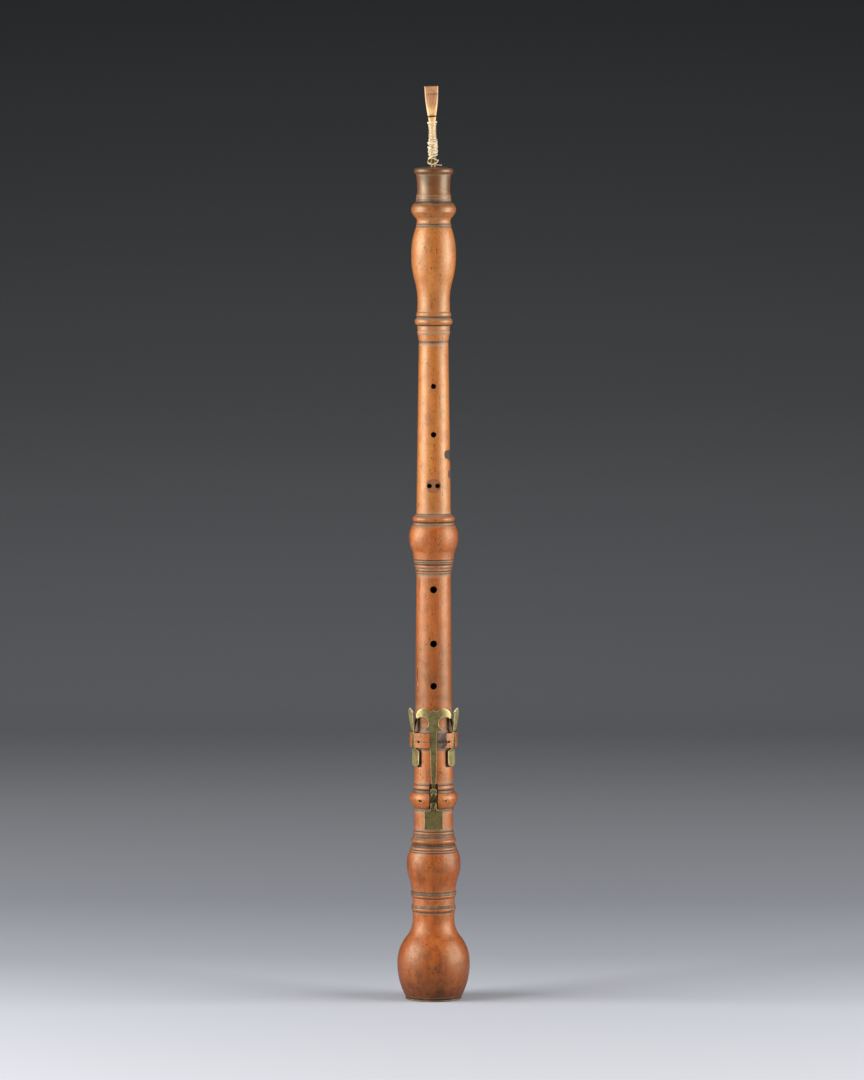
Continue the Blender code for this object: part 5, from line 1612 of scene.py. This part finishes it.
# %% Side keys
SIDE_LEVER_HALF_WIDTH = 1.35
SIDE_LEVER_OUTER = 18.3
SIDE_LEVER_FOOT_OUTER = 17.7
SIDE_TOUCH_FOOT_OUTER = 19.2
SIDE_TOUCH_OUTER = 21.7
SIDE_TOUCH_TOP = KEY_RING_TOP + 19.4
SIDE_FLAP_CORNER = 3.4
SIDE_FLAP_INNER = SIDE_SEAT_DEPTH + FIT + 1.1 + PAD_TO_BRASS
SIDE_FLAP_OUTER = SIDE_FLAP_INNER + 1.0


def side_outline():
    foot = SIDE_FLAP_TOP - SIDE_FLAP_LENGTH
    corner = (SIDE_FLAP_HALF_WIDTH - SIDE_FLAP_CORNER, foot + SIDE_FLAP_CORNER)
    half = [(0.0, SIDE_TOUCH_TOP)]
    half += arc_between(half[-1], (2.7, SIDE_TOUCH_TOP - 4.6), 0.9)
    half += arc_between(half[-1], (SIDE_LEVER_HALF_WIDTH, KEY_RING_TOP + 0.7), 0.45, 1.0)
    half += [
        (SIDE_LEVER_HALF_WIDTH, SIDE_FLAP_TOP + 0.4),
        (SIDE_FLAP_HALF_WIDTH - 0.6, SIDE_FLAP_TOP),
        (SIDE_FLAP_HALF_WIDTH, SIDE_FLAP_TOP - 0.6),
    ]
    return mirrored(half + circle_points(corner, SIDE_FLAP_CORNER, 0, -90))


def side_profile():
    foot = SIDE_FLAP_TOP - SIDE_FLAP_LENGTH - 1.0
    lever_inner = -SIDE_LEVER_FOOT_OUTER + SHANK_THICKNESS
    profile = [
        (-SIDE_TOUCH_OUTER, SIDE_TOUCH_TOP + 1.0),
        (-SIDE_TOUCH_FOOT_OUTER, KEY_RING_TOP + 2.4),
        (-SIDE_LEVER_OUTER, KEY_RING_TOP + 0.2),
        (-SIDE_LEVER_FOOT_OUTER, KEY_RING_FOOT + 0.4),
        (-SIDE_FLAP_OUTER, SIDE_FLAP_TOP - 1.1),
        (-SIDE_FLAP_OUTER, foot),
        (-SIDE_FLAP_INNER, foot),
        (-SIDE_FLAP_INNER, SIDE_FLAP_TOP + 0.2),
        (lever_inner, KEY_RING_FOOT + 1.5),
    ]
    profile += circle_points(SIDE_PIVOT, LUG_RADIUS, 235, 485)
    return profile + [
        (-SIDE_LEVER_OUTER + SHANK_THICKNESS, KEY_RING_TOP - 0.4),
        (-SIDE_TOUCH_FOOT_OUTER + TOUCH_THICKNESS, KEY_RING_TOP + 2.6),
        (-SIDE_TOUCH_OUTER + TOUCH_THICKNESS, SIDE_TOUCH_TOP + 1.0),
    ]


for side, sign in (("left", -1), ("right", 1)):
    key = side_bar(side + "_key_brass", side_profile(), SIDE_FLAP_HALF_WIDTH + 1.0)
    carve(key, front_bar("side key outline", side_outline()), "INTERSECT")
    carve(key, pin_drill(SIDE_PIVOT, 9.0))
    turned(key, sign * SIDE_KEY_ANGLE)
    finish_key(key, side + "_side_key", side + "_key", 0.38)

# %% [markdown]
# ## Pins, pads and springs
# The pins are drawn brass wire with filed ends. The pads are sheepskin glued under the flaps. Each spring
# is a thin strip of hammered brass: it bends when its key moves, so it flattens towards its root here.

# %% Pins
TOUCH_PIN_REACH = math.sqrt(KEY_RING_RADIUS**2 - TOUCH_PIVOT[0] ** 2) - FIT
FLAP_PIN_REACH = math.sqrt(18.45**2 - FLAP_PIVOT[0] ** 2) - FIT
SIDE_PIN_OUTER = math.sqrt(KEY_RING_RADIUS**2 - SIDE_PIVOT[0] ** 2) + 0.9


def make_pin(name, pivot, start, end, angle=0.0):
    """A pin of drawn wire. Its ends are filed round."""
    pin = turned(rod(name + "_wire", (start, *pivot), (end, *pivot), PIN_RADIUS, 32), angle)
    break_edges(pin, 0.22, 3)
    write_attribute(pin, "rubbed", lambda point: 0.45)
    finish_piece(pin, PIN_BRASS, "lower", "brass", name)


make_pin("great_key_touch_pin", TOUCH_PIVOT, -TOUCH_PIN_REACH, TOUCH_PIN_REACH)
make_pin("great_key_flap_pin", FLAP_PIVOT, -FLAP_PIN_REACH, FLAP_PIN_REACH)
make_pin("left_key_pin", SIDE_PIVOT, -SIDE_PIN_OUTER, SIDE_PIN_REACH, -SIDE_KEY_ANGLE)
make_pin("right_key_pin", SIDE_PIVOT, -SIDE_PIN_REACH, SIDE_PIN_OUTER, SIDE_KEY_ANGLE)


# %% Pads
def make_pad(name, body, depths, half_width, top, foot, pivot, lift, angle=0.0):
    """A sheepskin pad, cut square with a soft, slightly swollen edge."""
    outer, inner = depths
    corners = [(-outer, top), (-outer, foot), (-inner, foot), (-inner, top)]
    pad = side_bar(name + "_leather", [swing(corner, pivot, lift) for corner in corners], half_width)
    turned(pad, angle)
    break_edges(pad, 0.35, 4, 60.0)
    finish_piece(pad, LEATHER, body, "leather", name)


great_pad_top = FLAP_TOP - 0.8
make_pad(
    "great_key_pad",
    "great_flap",
    (GREAT_FLAP_INNER - PAD_TO_BRASS, GREAT_SEAT_DEPTH + FIT),
    FLAP_WIDTH / 2 - 0.9,
    great_pad_top,
    great_pad_top - FLAP_LENGTH + 1.6,
    FLAP_PIVOT,
    FLAP_OPEN,
)
for side, sign in (("left", -1), ("right", 1)):
    make_pad(
        side + "_key_pad",
        side + "_side_key",
        (SIDE_FLAP_INNER - PAD_TO_BRASS, SIDE_SEAT_DEPTH + FIT),
        SIDE_FLAP_HALF_WIDTH - 0.7,
        SIDE_FLAP_TOP - 0.7,
        SIDE_FLAP_TOP - SIDE_FLAP_LENGTH + 0.9,
        SIDE_PIVOT,
        0.0,
        sign * SIDE_KEY_ANGLE,
    )

# %% Springs
SPRING_THICKNESS = 0.4
SPRING_HALF_WIDTH = 1.2
SPRING_TIP = LOWER_TUBE_FOOT_RADIUS + FIT + SPRING_THICKNESS


def make_spring(name, body, root, tip, sag, angle=0.0):
    """A leaf spring from its root under the lever to its tip on the wood, given as (y, z) points.
    """
    outer = [root] + arc_between(root, tip, sag, 0.8)
    strip = outer + [(y + SPRING_THICKNESS, z) for y, z in reversed(outer)]
    spring = side_bar(name + "_leaf", strip, SPRING_HALF_WIDTH)
    turned(spring, angle)
    break_edges(spring, 0.08, 2, 60.0)
    write_attribute(spring, "rubbed", lambda point: 0.35)
    finish_piece(spring, SHADED_SPRING_BRASS, body, "brass", name)
    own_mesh(spring)


slope_start = -SHANK_OUTER + SHANK_THICKNESS
slope = (TOUCH_OUTER - TOUCH_THICKNESS + slope_start) / 5.5
touch_root = (slope_start - slope * 3.4 + FIT, KEY_RING_TOP + 2.9)
make_spring(
    "great_key_touch_spring", "great_touch", touch_root, (-SPRING_TIP, KEY_RING_TOP + 15.5), 0.4
)
flap_floor = FLAP_PIVOT[0] + LUG_RADIUS
make_spring(
    "great_key_flap_spring",
    "great_flap",
    (FLAP_PIVOT[0] - 0.75, FLAP_PIVOT[1] - 2.3),
    (flap_floor - SPRING_THICKNESS, FLAP_PIVOT[1] - 6.6),
    0.25,
)
side_root = (-SIDE_TOUCH_FOOT_OUTER + TOUCH_THICKNESS + FIT, KEY_RING_TOP + 2.7)
for side, sign in (("left", -1), ("right", 1)):
    make_spring(
        side + "_key_spring",
        side + "_side_key",
        side_root,
        (-SPRING_TIP, KEY_RING_TOP + 12.5),
        0.3,
        sign * SIDE_KEY_ANGLE,
    )

# %% [markdown]
# ## Crook, staple and wire
# The crook is a short cone of brass tube lapped with thread, pushed into the reed well. The staple of the
# reed slides over it. Reed and crook lean a little to one side in the well, as the picture shows.

# %% Crook and staple
REED_LEAN = math.radians(1.4)
LEAN_POINT = Vector((0.0, 0.0, TOP - 10.0)) * MM
LEAN = Matrix.Translation(LEAN_POINT) @ Matrix.Rotation(-REED_LEAN, 4, "Y") @ Matrix.Translation(-LEAN_POINT)
CANE_SPLIT = 0.2
CROOK_FOOT = TOP - WELL_DEPTH + 2.0


def leaned(piece):
    """Tip a piece of the crook or reed as it stands in the well."""
    piece.matrix_world = LEAN
    return piece


def make_tube(name, body, node, outside, wall):
    """A thin brass tube with an outside of (radius, height) points."""
    inside = [(radius - wall, height) for radius, height in reversed(outside)]
    tube = spin_outline(name, outside + inside, 48)
    break_edges(tube, 0.06, 2)
    write_attribute(tube, "rubbed", lambda point: 0.3)
    finish_piece(leaned(tube), TUBE_BRASS, body, "brass", node)


make_tube(
    "crook_tube",
    "crook",
    "crook",
    [(1.25, TOP + 16.0), (1.8, TOP + 4.0), (2.4, TOP - 2.0), (2.4, CROOK_FOOT)],
    0.4,
)
STAPLE_TOP, STAPLE_FOOT = (1.3, TOP + 27.0), (2.4, TOP + 4.6)
make_tube("staple_tube", "reed", "staple", [STAPLE_TOP, STAPLE_FOOT], 0.3)

# %% [markdown]
# ## The cane blades
# Two thin blades face each other. Low down they close into a tube round the staple, and they open to a
# wide, flat tip. Each is drawn as a crescent at its foot and then extruded upwards station by station,
# widening and flattening as it goes, which is how the cane is shaped too.

# %% Cane blades
CANE_FOOT, CANE_TIP = 21.6, 61.7
CANE_STATIONS = [
    (CANE_FOOT, 2.22, 2.12),
    (28.0, 1.95, 1.9),
    (34.5, 2.4, 1.9),
    (41.0, 3.4, 1.75),
    (48.0, 4.4, 1.45),
    (54.0, 4.95, 1.1),
    (CANE_TIP, 5.2, 0.75),
]
CANE_WALL = 0.4


def cane_section(rise):
    """Half-width and swell of the cane at a rise above the wood, eased between its stations."""
    for (low, *lower), (high, *upper) in zip(CANE_STATIONS, CANE_STATIONS[1:]):
        if rise <= high:
            share = (rise - low) / (high - low)
            return [a + (b - a) * share for a, b in zip(lower, upper)]
    return list(CANE_STATIONS[-1][1:])


def smooth_section(rise):
    """The cane's section, averaged over a few millimetres so that it curves."""
    around = [cane_section(min(max(rise + shift, CANE_FOOT), CANE_TIP)) for shift in (-2.4, -1.2, 0.0, 1.2, 2.4)]
    return [sum(values) / len(around) for values in zip(*around)]


def blade_crescent(sign, steps=18):
    half_width, swell = smooth_section(CANE_FOOT)
    outer, inner = [], []
    for step in range(steps + 1):
        across, bulge = math.cos(math.pi * step / steps), math.sin(math.pi * step / steps)
        outer.append((half_width * across, sign * swell * bulge, TOP + CANE_FOOT))
        inner.append(((half_width - CANE_WALL) * across, sign * (swell - CANE_WALL) * bulge, TOP + CANE_FOOT))
    return outer + inner[::-1]


def make_blade(name, node, sign, stations=40):
    """One blade, extruded upwards from its crescent."""
    blade = draw_line(name, blade_crescent(sign))
    bpy.ops.mesh.select_all(action="SELECT")
    bpy.ops.mesh.edge_face_add()
    rise, (width, swell) = CANE_FOOT, smooth_section(CANE_FOOT)
    for step in range(1, stations + 1):
        next_rise = CANE_FOOT + (CANE_TIP - CANE_FOOT) * step / stations
        next_width, next_swell = smooth_section(next_rise)
        up = (0.0, 0.0, (next_rise - rise) * MM)
        bpy.ops.mesh.extrude_region_move(TRANSFORM_OT_translate={"value": up})
        bpy.ops.transform.resize(
            value=(next_width / width, next_swell / swell, 1.0),
            center_override=Vector((0.0, 0.0, TOP + next_rise)) * MM,
        )
        rise, width, swell = next_rise, next_width, next_swell
    bpy.ops.mesh.select_all(action="SELECT")
    bpy.ops.mesh.normals_make_consistent(inside=False)
    bpy.ops.transform.translate(value=(0.0, sign * CANE_SPLIT / 2 * MM, 0.0))
    break_edges(blade, 0.05, 2, 60.0)
    write_attribute(blade, "scrape", scrape_at)
    write_attribute(blade, "grime", cane_mark_at)
    finish_piece(leaned(blade), CANE, "reed", "cane", node)


def scrape_at(point):
    """The bark ends in a rounded line below the tip, lower in the middle."""
    rise = point.z - TOP
    half_width, _ = smooth_section(min(rise, CANE_TIP))
    scraped = min(max((rise - 43.0 - 0.2 * point.x * point.x) / 3.0, 0.0), 1.0)
    edge = min(max((half_width - abs(point.x)) / 0.9, 0.0), 1.0)
    return scraped * edge


def cane_mark_at(point):
    """A dark scrape line under the tip, a split at the tip and a worn end."""
    rise = point.z - TOP - 0.05 * point.x
    across_line = max(0.0, 1.0 - abs(rise - 55.6) / 0.5) * 0.8
    split = 0.8 if abs(point.x + 2.2) < 0.25 and rise > 59.8 else 0.0
    worn = max(0.0, (rise - 61.0) / 0.8) * 0.6
    return min(max(across_line, split, worn), 1.0)


make_blade("front_cane_blade", "front_blade", -1)
make_blade("back_cane_blade", "back_blade", 1)

# %% [markdown]
# ## Wire and thread
# A turn of thin wire holds the blades in shape. Below it the thread is wound on tight, one turn against the
# next, and a second, untidy layer covers the staple. At the foot a few turns have worked loose, and the end
# sticks out. A thread is a curve with a round section, made a mesh with its own UV map for the twist.

# %% Helper for threads
def make_thread(name, points, diameter, sides=8):
    """A round thread along points, in millimetres, as a mesh with a UV map along it."""
    clear_selection()
    rings = []
    form = bmesh.new()
    uv_layer = form.loops.layers.uv.new("thread")
    up = Vector((0.0, 0.0, 1.0))
    for index, point in enumerate(points):
        before, after = points[max(index - 1, 0)], points[min(index + 1, len(points) - 1)]
        along = (after - before).normalized()
        side = along.cross(up).normalized()
        top = side.cross(along)
        ring = []
        for corner in range(sides):
            angle = math.tau * corner / sides
            offset = (side * math.cos(angle) + top * math.sin(angle)) * diameter / 2
            ring.append(form.verts.new((point + offset) * MM))
        rings.append(ring)
    travelled = 0.0
    for index, (here, there) in enumerate(zip(rings, rings[1:])):
        length = (points[index + 1] - points[index]).length
        for corner in range(sides):
            after = (corner + 1) % sides
            face = form.faces.new((here[corner], here[after], there[after], there[corner]))
            spans = [(travelled, corner), (travelled, corner + 1), (travelled + length, corner + 1), (travelled + length, corner)]
            for loop, (u, v) in zip(face.loops, spans):
                loop[uv_layer].uv = (u / diameter, v / sides * math.pi)
        travelled += length
    form.faces.new(rings[0][::-1])
    form.faces.new(rings[-1])
    bmesh.ops.recalc_face_normals(form, faces=form.faces)
    mesh = bpy.data.meshes.new(name)
    form.to_mesh(mesh)
    form.free()
    mesh.shade_smooth()
    thread_piece = bpy.data.objects.new(name, mesh)
    bpy.context.scene.collection.objects.link(thread_piece)
    return thread_piece


def join_pieces(first, *others):
    make_active(first)
    for other in others:
        other.select_set(True)
    bpy.ops.object.join()
    return first


# %% Wire
WIRE_RISE = 39.0
WIRE_DIAMETER = 0.55


def wire_points(turns=2, steps=40):
    """Two turns round the oval of the cane, and a short twisted end at the back."""
    half_width, swell = smooth_section(WIRE_RISE)
    lie = WIRE_DIAMETER / 2 + 0.06
    points = []
    for step in range(turns * steps + 1):
        angle = math.pi / 2 + math.tau * step / steps
        x = (half_width + lie) * math.cos(angle)
        y = (swell + CANE_SPLIT / 2 + lie) * math.sin(angle)
        points.append(Vector((x, y, TOP + WIRE_RISE + 0.6 * (step / steps - turns / 2))))
    out = points[-1]
    return points + [out + Vector((0.1 * n, 0.28 * n, 0.05 * n)) for n in (1, 2, 3)]


wire = make_thread("reed_wire_turns", wire_points(), WIRE_DIAMETER)
finish_piece(leaned(wire), IRON, "reed", "iron_wire", "reed_wire")

# %% Reed binding
THREAD_TOP, THREAD_FOOT = 34.2, 9.2
THREAD = 0.7
THREAD_PITCH = 1.2
STEPS_ROUND = 28
THREAD_CORE_RADIUS = 2.4


def under_radius(rise):
    """Radius of what the thread lies on: the staple's dark first lapping, then the cane."""
    if rise >= CANE_FOOT:
        half_width, _ = smooth_section(rise)
        return half_width + CANE_SPLIT / 2
    share = (CANE_FOOT - rise) / (CANE_FOOT - THREAD_FOOT)
    return THREAD_CORE_RADIUS + 0.12 - 0.1 * share


def wound_thread(top, foot, pitch, radius_at, wobble=0.0, start=0.0, hand=-1.0, tilt=0.0):
    """Points of one layer of winding from top down to foot. tilt lifts one side of every turn."""
    turns = (top - foot) / pitch
    points = []
    for step in range(int(turns * STEPS_ROUND) + 1):
        angle = start + hand * math.tau * step / STEPS_ROUND
        rise = top - pitch * step / STEPS_ROUND
        shift = noise.noise(Vector((step * 0.021, start, 7.0))) * wobble
        radius = radius_at(rise) + abs(noise.noise(Vector((step * 0.05, 3.0, start)))) * wobble * 0.4
        x, y = radius * math.cos(angle), radius * math.sin(angle)
        points.append(Vector((x, y, TOP + rise + shift + tilt * x)))
    return points


def make_binding():
    """Tight turns, an untidy second layer over the staple, slipped loops at the foot and a loose end."""
    top, foot = THREAD_TOP, THREAD_FOOT
    tight = wound_thread(top, foot, THREAD_PITCH, lambda rise: under_radius(rise) + THREAD / 2, 0.25)
    cover = wound_thread(
        21.0, foot, THREAD * 1.6, lambda rise: under_radius(rise) + THREAD * 1.1, 0.9, 1.0, -1.0, 0.16
    )
    crossing = wound_thread(
        19.0, foot + 1.0, THREAD * 5.5, lambda rise: under_radius(rise) + THREAD * 1.6, 1.2, 2.6, 1.0, -0.2
    )
    collar = wound_thread(35.0, 33.9, THREAD, lambda rise: under_radius(rise) + THREAD * 1.1, 0.2, 0.4)
    loops = wound_thread(foot + 0.6, 3.6, 2.4, lambda rise: 3.0 + 0.2 * (foot - rise), 0.6, 0.5)
    for step, point in enumerate(loops):
        point.z += 1.3 * math.sin(1.6 * math.tau * step / STEPS_ROUND) * min(step / STEPS_ROUND, 1.0)
    end = [Vector((4.0, -1.6, TOP + CROWN_RISE + 1.2)), Vector((4.9, -1.9, TOP + CROWN_RISE + 1.3))]
    end += [Vector((5.8, -2.0, TOP + CROWN_RISE + 1.25)), Vector((6.4, -1.9, TOP + CROWN_RISE + 1.1))]
    end = [loops[-1]] + [loops[-1].lerp(end[0], 0.5)] + end
    layers = [
        make_thread(f"layer_{number}", points, THREAD)
        for number, points in enumerate((tight, cover, crossing, collar, loops, end))
    ]
    binding = join_pieces(*layers)
    binding.name = binding.data.name = "reed_binding_thread"
    finish_piece(leaned(binding), BINDING_THREAD, "reed", "thread", "reed_binding")


def make_under_lapping():
    """The first, tight lapping on the staple. Wax and age have turned it brown."""
    lapping = spin_outline(
        "binding_under_layers",
        [
            (THREAD_CORE_RADIUS, TOP + CANE_FOOT - FIT),
            (THREAD_CORE_RADIUS, TOP + THREAD_FOOT),
            (THREAD_CORE_RADIUS - 0.5, TOP + THREAD_FOOT - 0.4),
            (2.2, TOP + THREAD_FOOT - 0.4),
            (1.75, TOP + CANE_FOOT - FIT),
        ],
        48,
    )
    lapping.data.uv_layers.new(name="thread")
    break_edges(lapping, 0.1)
    finish_piece(leaned(lapping), DARK_THREAD, "reed", "thread", "binding_core")


make_binding()
make_under_lapping()

# %% [markdown]
# ## Thread on the tenons and the crook
# The tenons are lapped with waxed thread so that they grip in their sockets. None of it shows until a joint
# is drawn apart. A plain core stands for the layers underneath, and one thread is wound on top.


# %% Lapped tenons
LAPPING_THREAD_SIZE = 0.5


def make_lapping(name, body, node, radius, inner, top, foot, lean=False):
    """A lapping between two heights: under layers, and the last layer wound over them."""
    core_outer = radius - LAPPING_THREAD_SIZE * 0.6
    core = spin_outline("under layers", [(core_outer, top), (core_outer, foot), (inner, foot), (inner, top)], 64)
    steps = 56
    points = []
    for step in range(int((top - foot - LAPPING_THREAD_SIZE) / LAPPING_THREAD_SIZE * steps) + 1):
        angle = math.tau * step / steps
        height = top - LAPPING_THREAD_SIZE / 2 - LAPPING_THREAD_SIZE * step / steps
        middle = radius - LAPPING_THREAD_SIZE / 2
        points.append(Vector((middle * math.cos(angle), middle * math.sin(angle), height)))
    winding = make_thread(name, points, LAPPING_THREAD_SIZE, 6)
    core.data.uv_layers.new(name="thread")
    lapping = join_pieces(winding, core)
    if lean:
        leaned(lapping)
    finish_piece(lapping, LAPPING_THREAD, body, "thread", node)


def lap_tenon(name, body, node, shoulder, end, radius):
    gap = 0.2
    make_lapping(
        name,
        body,
        node,
        radius + 0.1,
        radius - LAPPING_BED_DEPTH + gap,
        shoulder - TENON_COLLAR - gap,
        end + TENON_COLLAR + gap,
    )


lap_tenon("lower_tenon_thread", "lower", "lower_tenon_lapping", BELL_LENGTH + SEAM, LOWER_FOOT_HEIGHT, LOWER_TENON_RADIUS)
lap_tenon("upper_tenon_thread", "top", "upper_tenon_lapping", LOWER_TOP + SEAM, TOP_FOOT_HEIGHT, UPPER_TENON_RADIUS)
make_lapping("crook_thread", "crook", "crook_lapping", 3.5, 2.6, TOP - 2.6, CROOK_FOOT + 1.2, lean=True)

# %% [markdown]
# ## Floor and light
# The instrument stands on a pale sweep of paper that rises into a dim grey background. Two tall soft boxes,
# one on each side, draw the long streaks of light down the wood and leave a darker band between them.

# %% Floor and backdrop
FLOOR_HALF_WIDTH = 4.0
FLOOR_FRONT = -3.0
FLOOR_BACK = 3.6
SWEEP_HEIGHT = 4.2
BACKDROP_TONES = [
    (0.0, "#323334"),
    (0.18, "#414344"),
    (0.37, "#525456"),
    (0.55, "#6a6c6f"),
    (0.74, "#818387"),
    (0.83, "#7f8187"),
    (0.883, "#8f9197"),
    (0.93, "#abadb3"),
    (1.0, "#b8b9be"),
]


def backdrop_paper():
    """Pale matte paper that darkens towards the top of the picture, where the lights don't reach."""
    material, tree, shader = new_material("background_paper")
    place = add_node(tree, "ShaderNodeTexCoord").outputs["Object"]
    parts = add_node(tree, "ShaderNodeSeparateXYZ", {"Vector": place})
    below_eye = add_node(
        tree, "ShaderNodeMath", {0: CAMERA_HEIGHT, 1: parts.outputs["Z"]}, operation="SUBTRACT"
    )
    away = add_node(tree, "ShaderNodeMath", {0: parts.outputs["Y"], 1: CAMERA_DISTANCE}, operation="ADD")
    slope = add_node(tree, "ShaderNodeMath", {0: below_eye.outputs[0], 1: away.outputs[0]}, operation="DIVIDE")
    fade = add_node(
        tree, "ShaderNodeMapRange", {"Value": slope.outputs[0], "From Min": -0.033, "From Max": 0.166}
    )
    tone = add_node(
        tree,
        "ShaderNodeValToRGB",
        {"Fac": fade.outputs[0]},
        stops=[(place, colour(value)) for place, value in BACKDROP_TONES],
    )
    tree.links.new(tone.outputs[0], shader.inputs["Base Color"])
    shader.inputs["Roughness"].default_value = 0.9
    shader.inputs["Specular IOR Level"].default_value = 0.1
    return material


def make_backdrop():
    clear_selection()
    bpy.ops.mesh.primitive_plane_add(size=1.0, location=(0.0, (FLOOR_FRONT + FLOOR_BACK) / 2, 0.0))
    sweep = bpy.context.object
    sweep.name = sweep.data.name = "paper_sweep"
    bpy.ops.object.mode_set(mode="EDIT")
    bpy.ops.transform.resize(value=(2 * FLOOR_HALF_WIDTH, FLOOR_BACK - FLOOR_FRONT, 1.0))
    form = bmesh.from_edit_mesh(sweep.data)
    for edge in form.edges:
        edge.select = all(vertex.co.y > 0 for vertex in edge.verts)
    form.select_flush_mode()
    bmesh.update_edit_mesh(sweep.data)
    bpy.ops.mesh.extrude_region_move(TRANSFORM_OT_translate={"value": (0.0, 0.0, SWEEP_HEIGHT)})
    bpy.ops.object.mode_set(mode="OBJECT")
    make_active(sweep)
    bpy.ops.object.transform_apply(location=True, rotation=True, scale=True)
    step = sweep.modifiers.new("sweep", "BEVEL")
    step.width = 1.6
    step.segments = 24
    step.limit_method = "ANGLE"
    bpy.ops.object.modifier_apply(modifier=step.name)
    bpy.ops.object.shade_smooth()
    sweep.data.materials.append(backdrop_paper())


make_backdrop()

# %% Lights
KEY_AIM = Vector((0.0, 0.0, 0.36))


def soft_box(name, azimuth, distance, height, size, power):
    """A tall area light at an azimuth in degrees from the camera's side, aimed at the instrument."""
    angle = math.radians(azimuth)
    place = Vector((distance * math.sin(angle), -distance * math.cos(angle), height))
    bpy.ops.object.light_add(type="AREA", location=place)
    lamp = bpy.context.object
    lamp.name = name
    lamp.data.shape = "RECTANGLE"
    lamp.data.size, lamp.data.size_y = size
    lamp.data.energy = power
    lamp.rotation_euler = (KEY_AIM - place).to_track_quat("-Z", "Y").to_euler()
    return lamp


soft_box("left_soft_box", -74.0, 1.9, 0.85, (1.5, 1.5), 94.0)
soft_box("right_soft_box", 76.0, 1.9, 0.65, (1.5, 1.5), 80.0)
soft_box("overhead_fill", 0.0, 0.2, 2.8, (2.4, 1.6), 14.0)

world = bpy.data.worlds.new("dim_studio")
bpy.context.scene.world = world
world.use_nodes = True
world.node_tree.nodes["Background"].inputs["Color"].default_value = colour("#9a9da3")
world.node_tree.nodes["Background"].inputs["Strength"].default_value = 0.18
bpy.context.scene.view_settings.view_transform = "Standard"
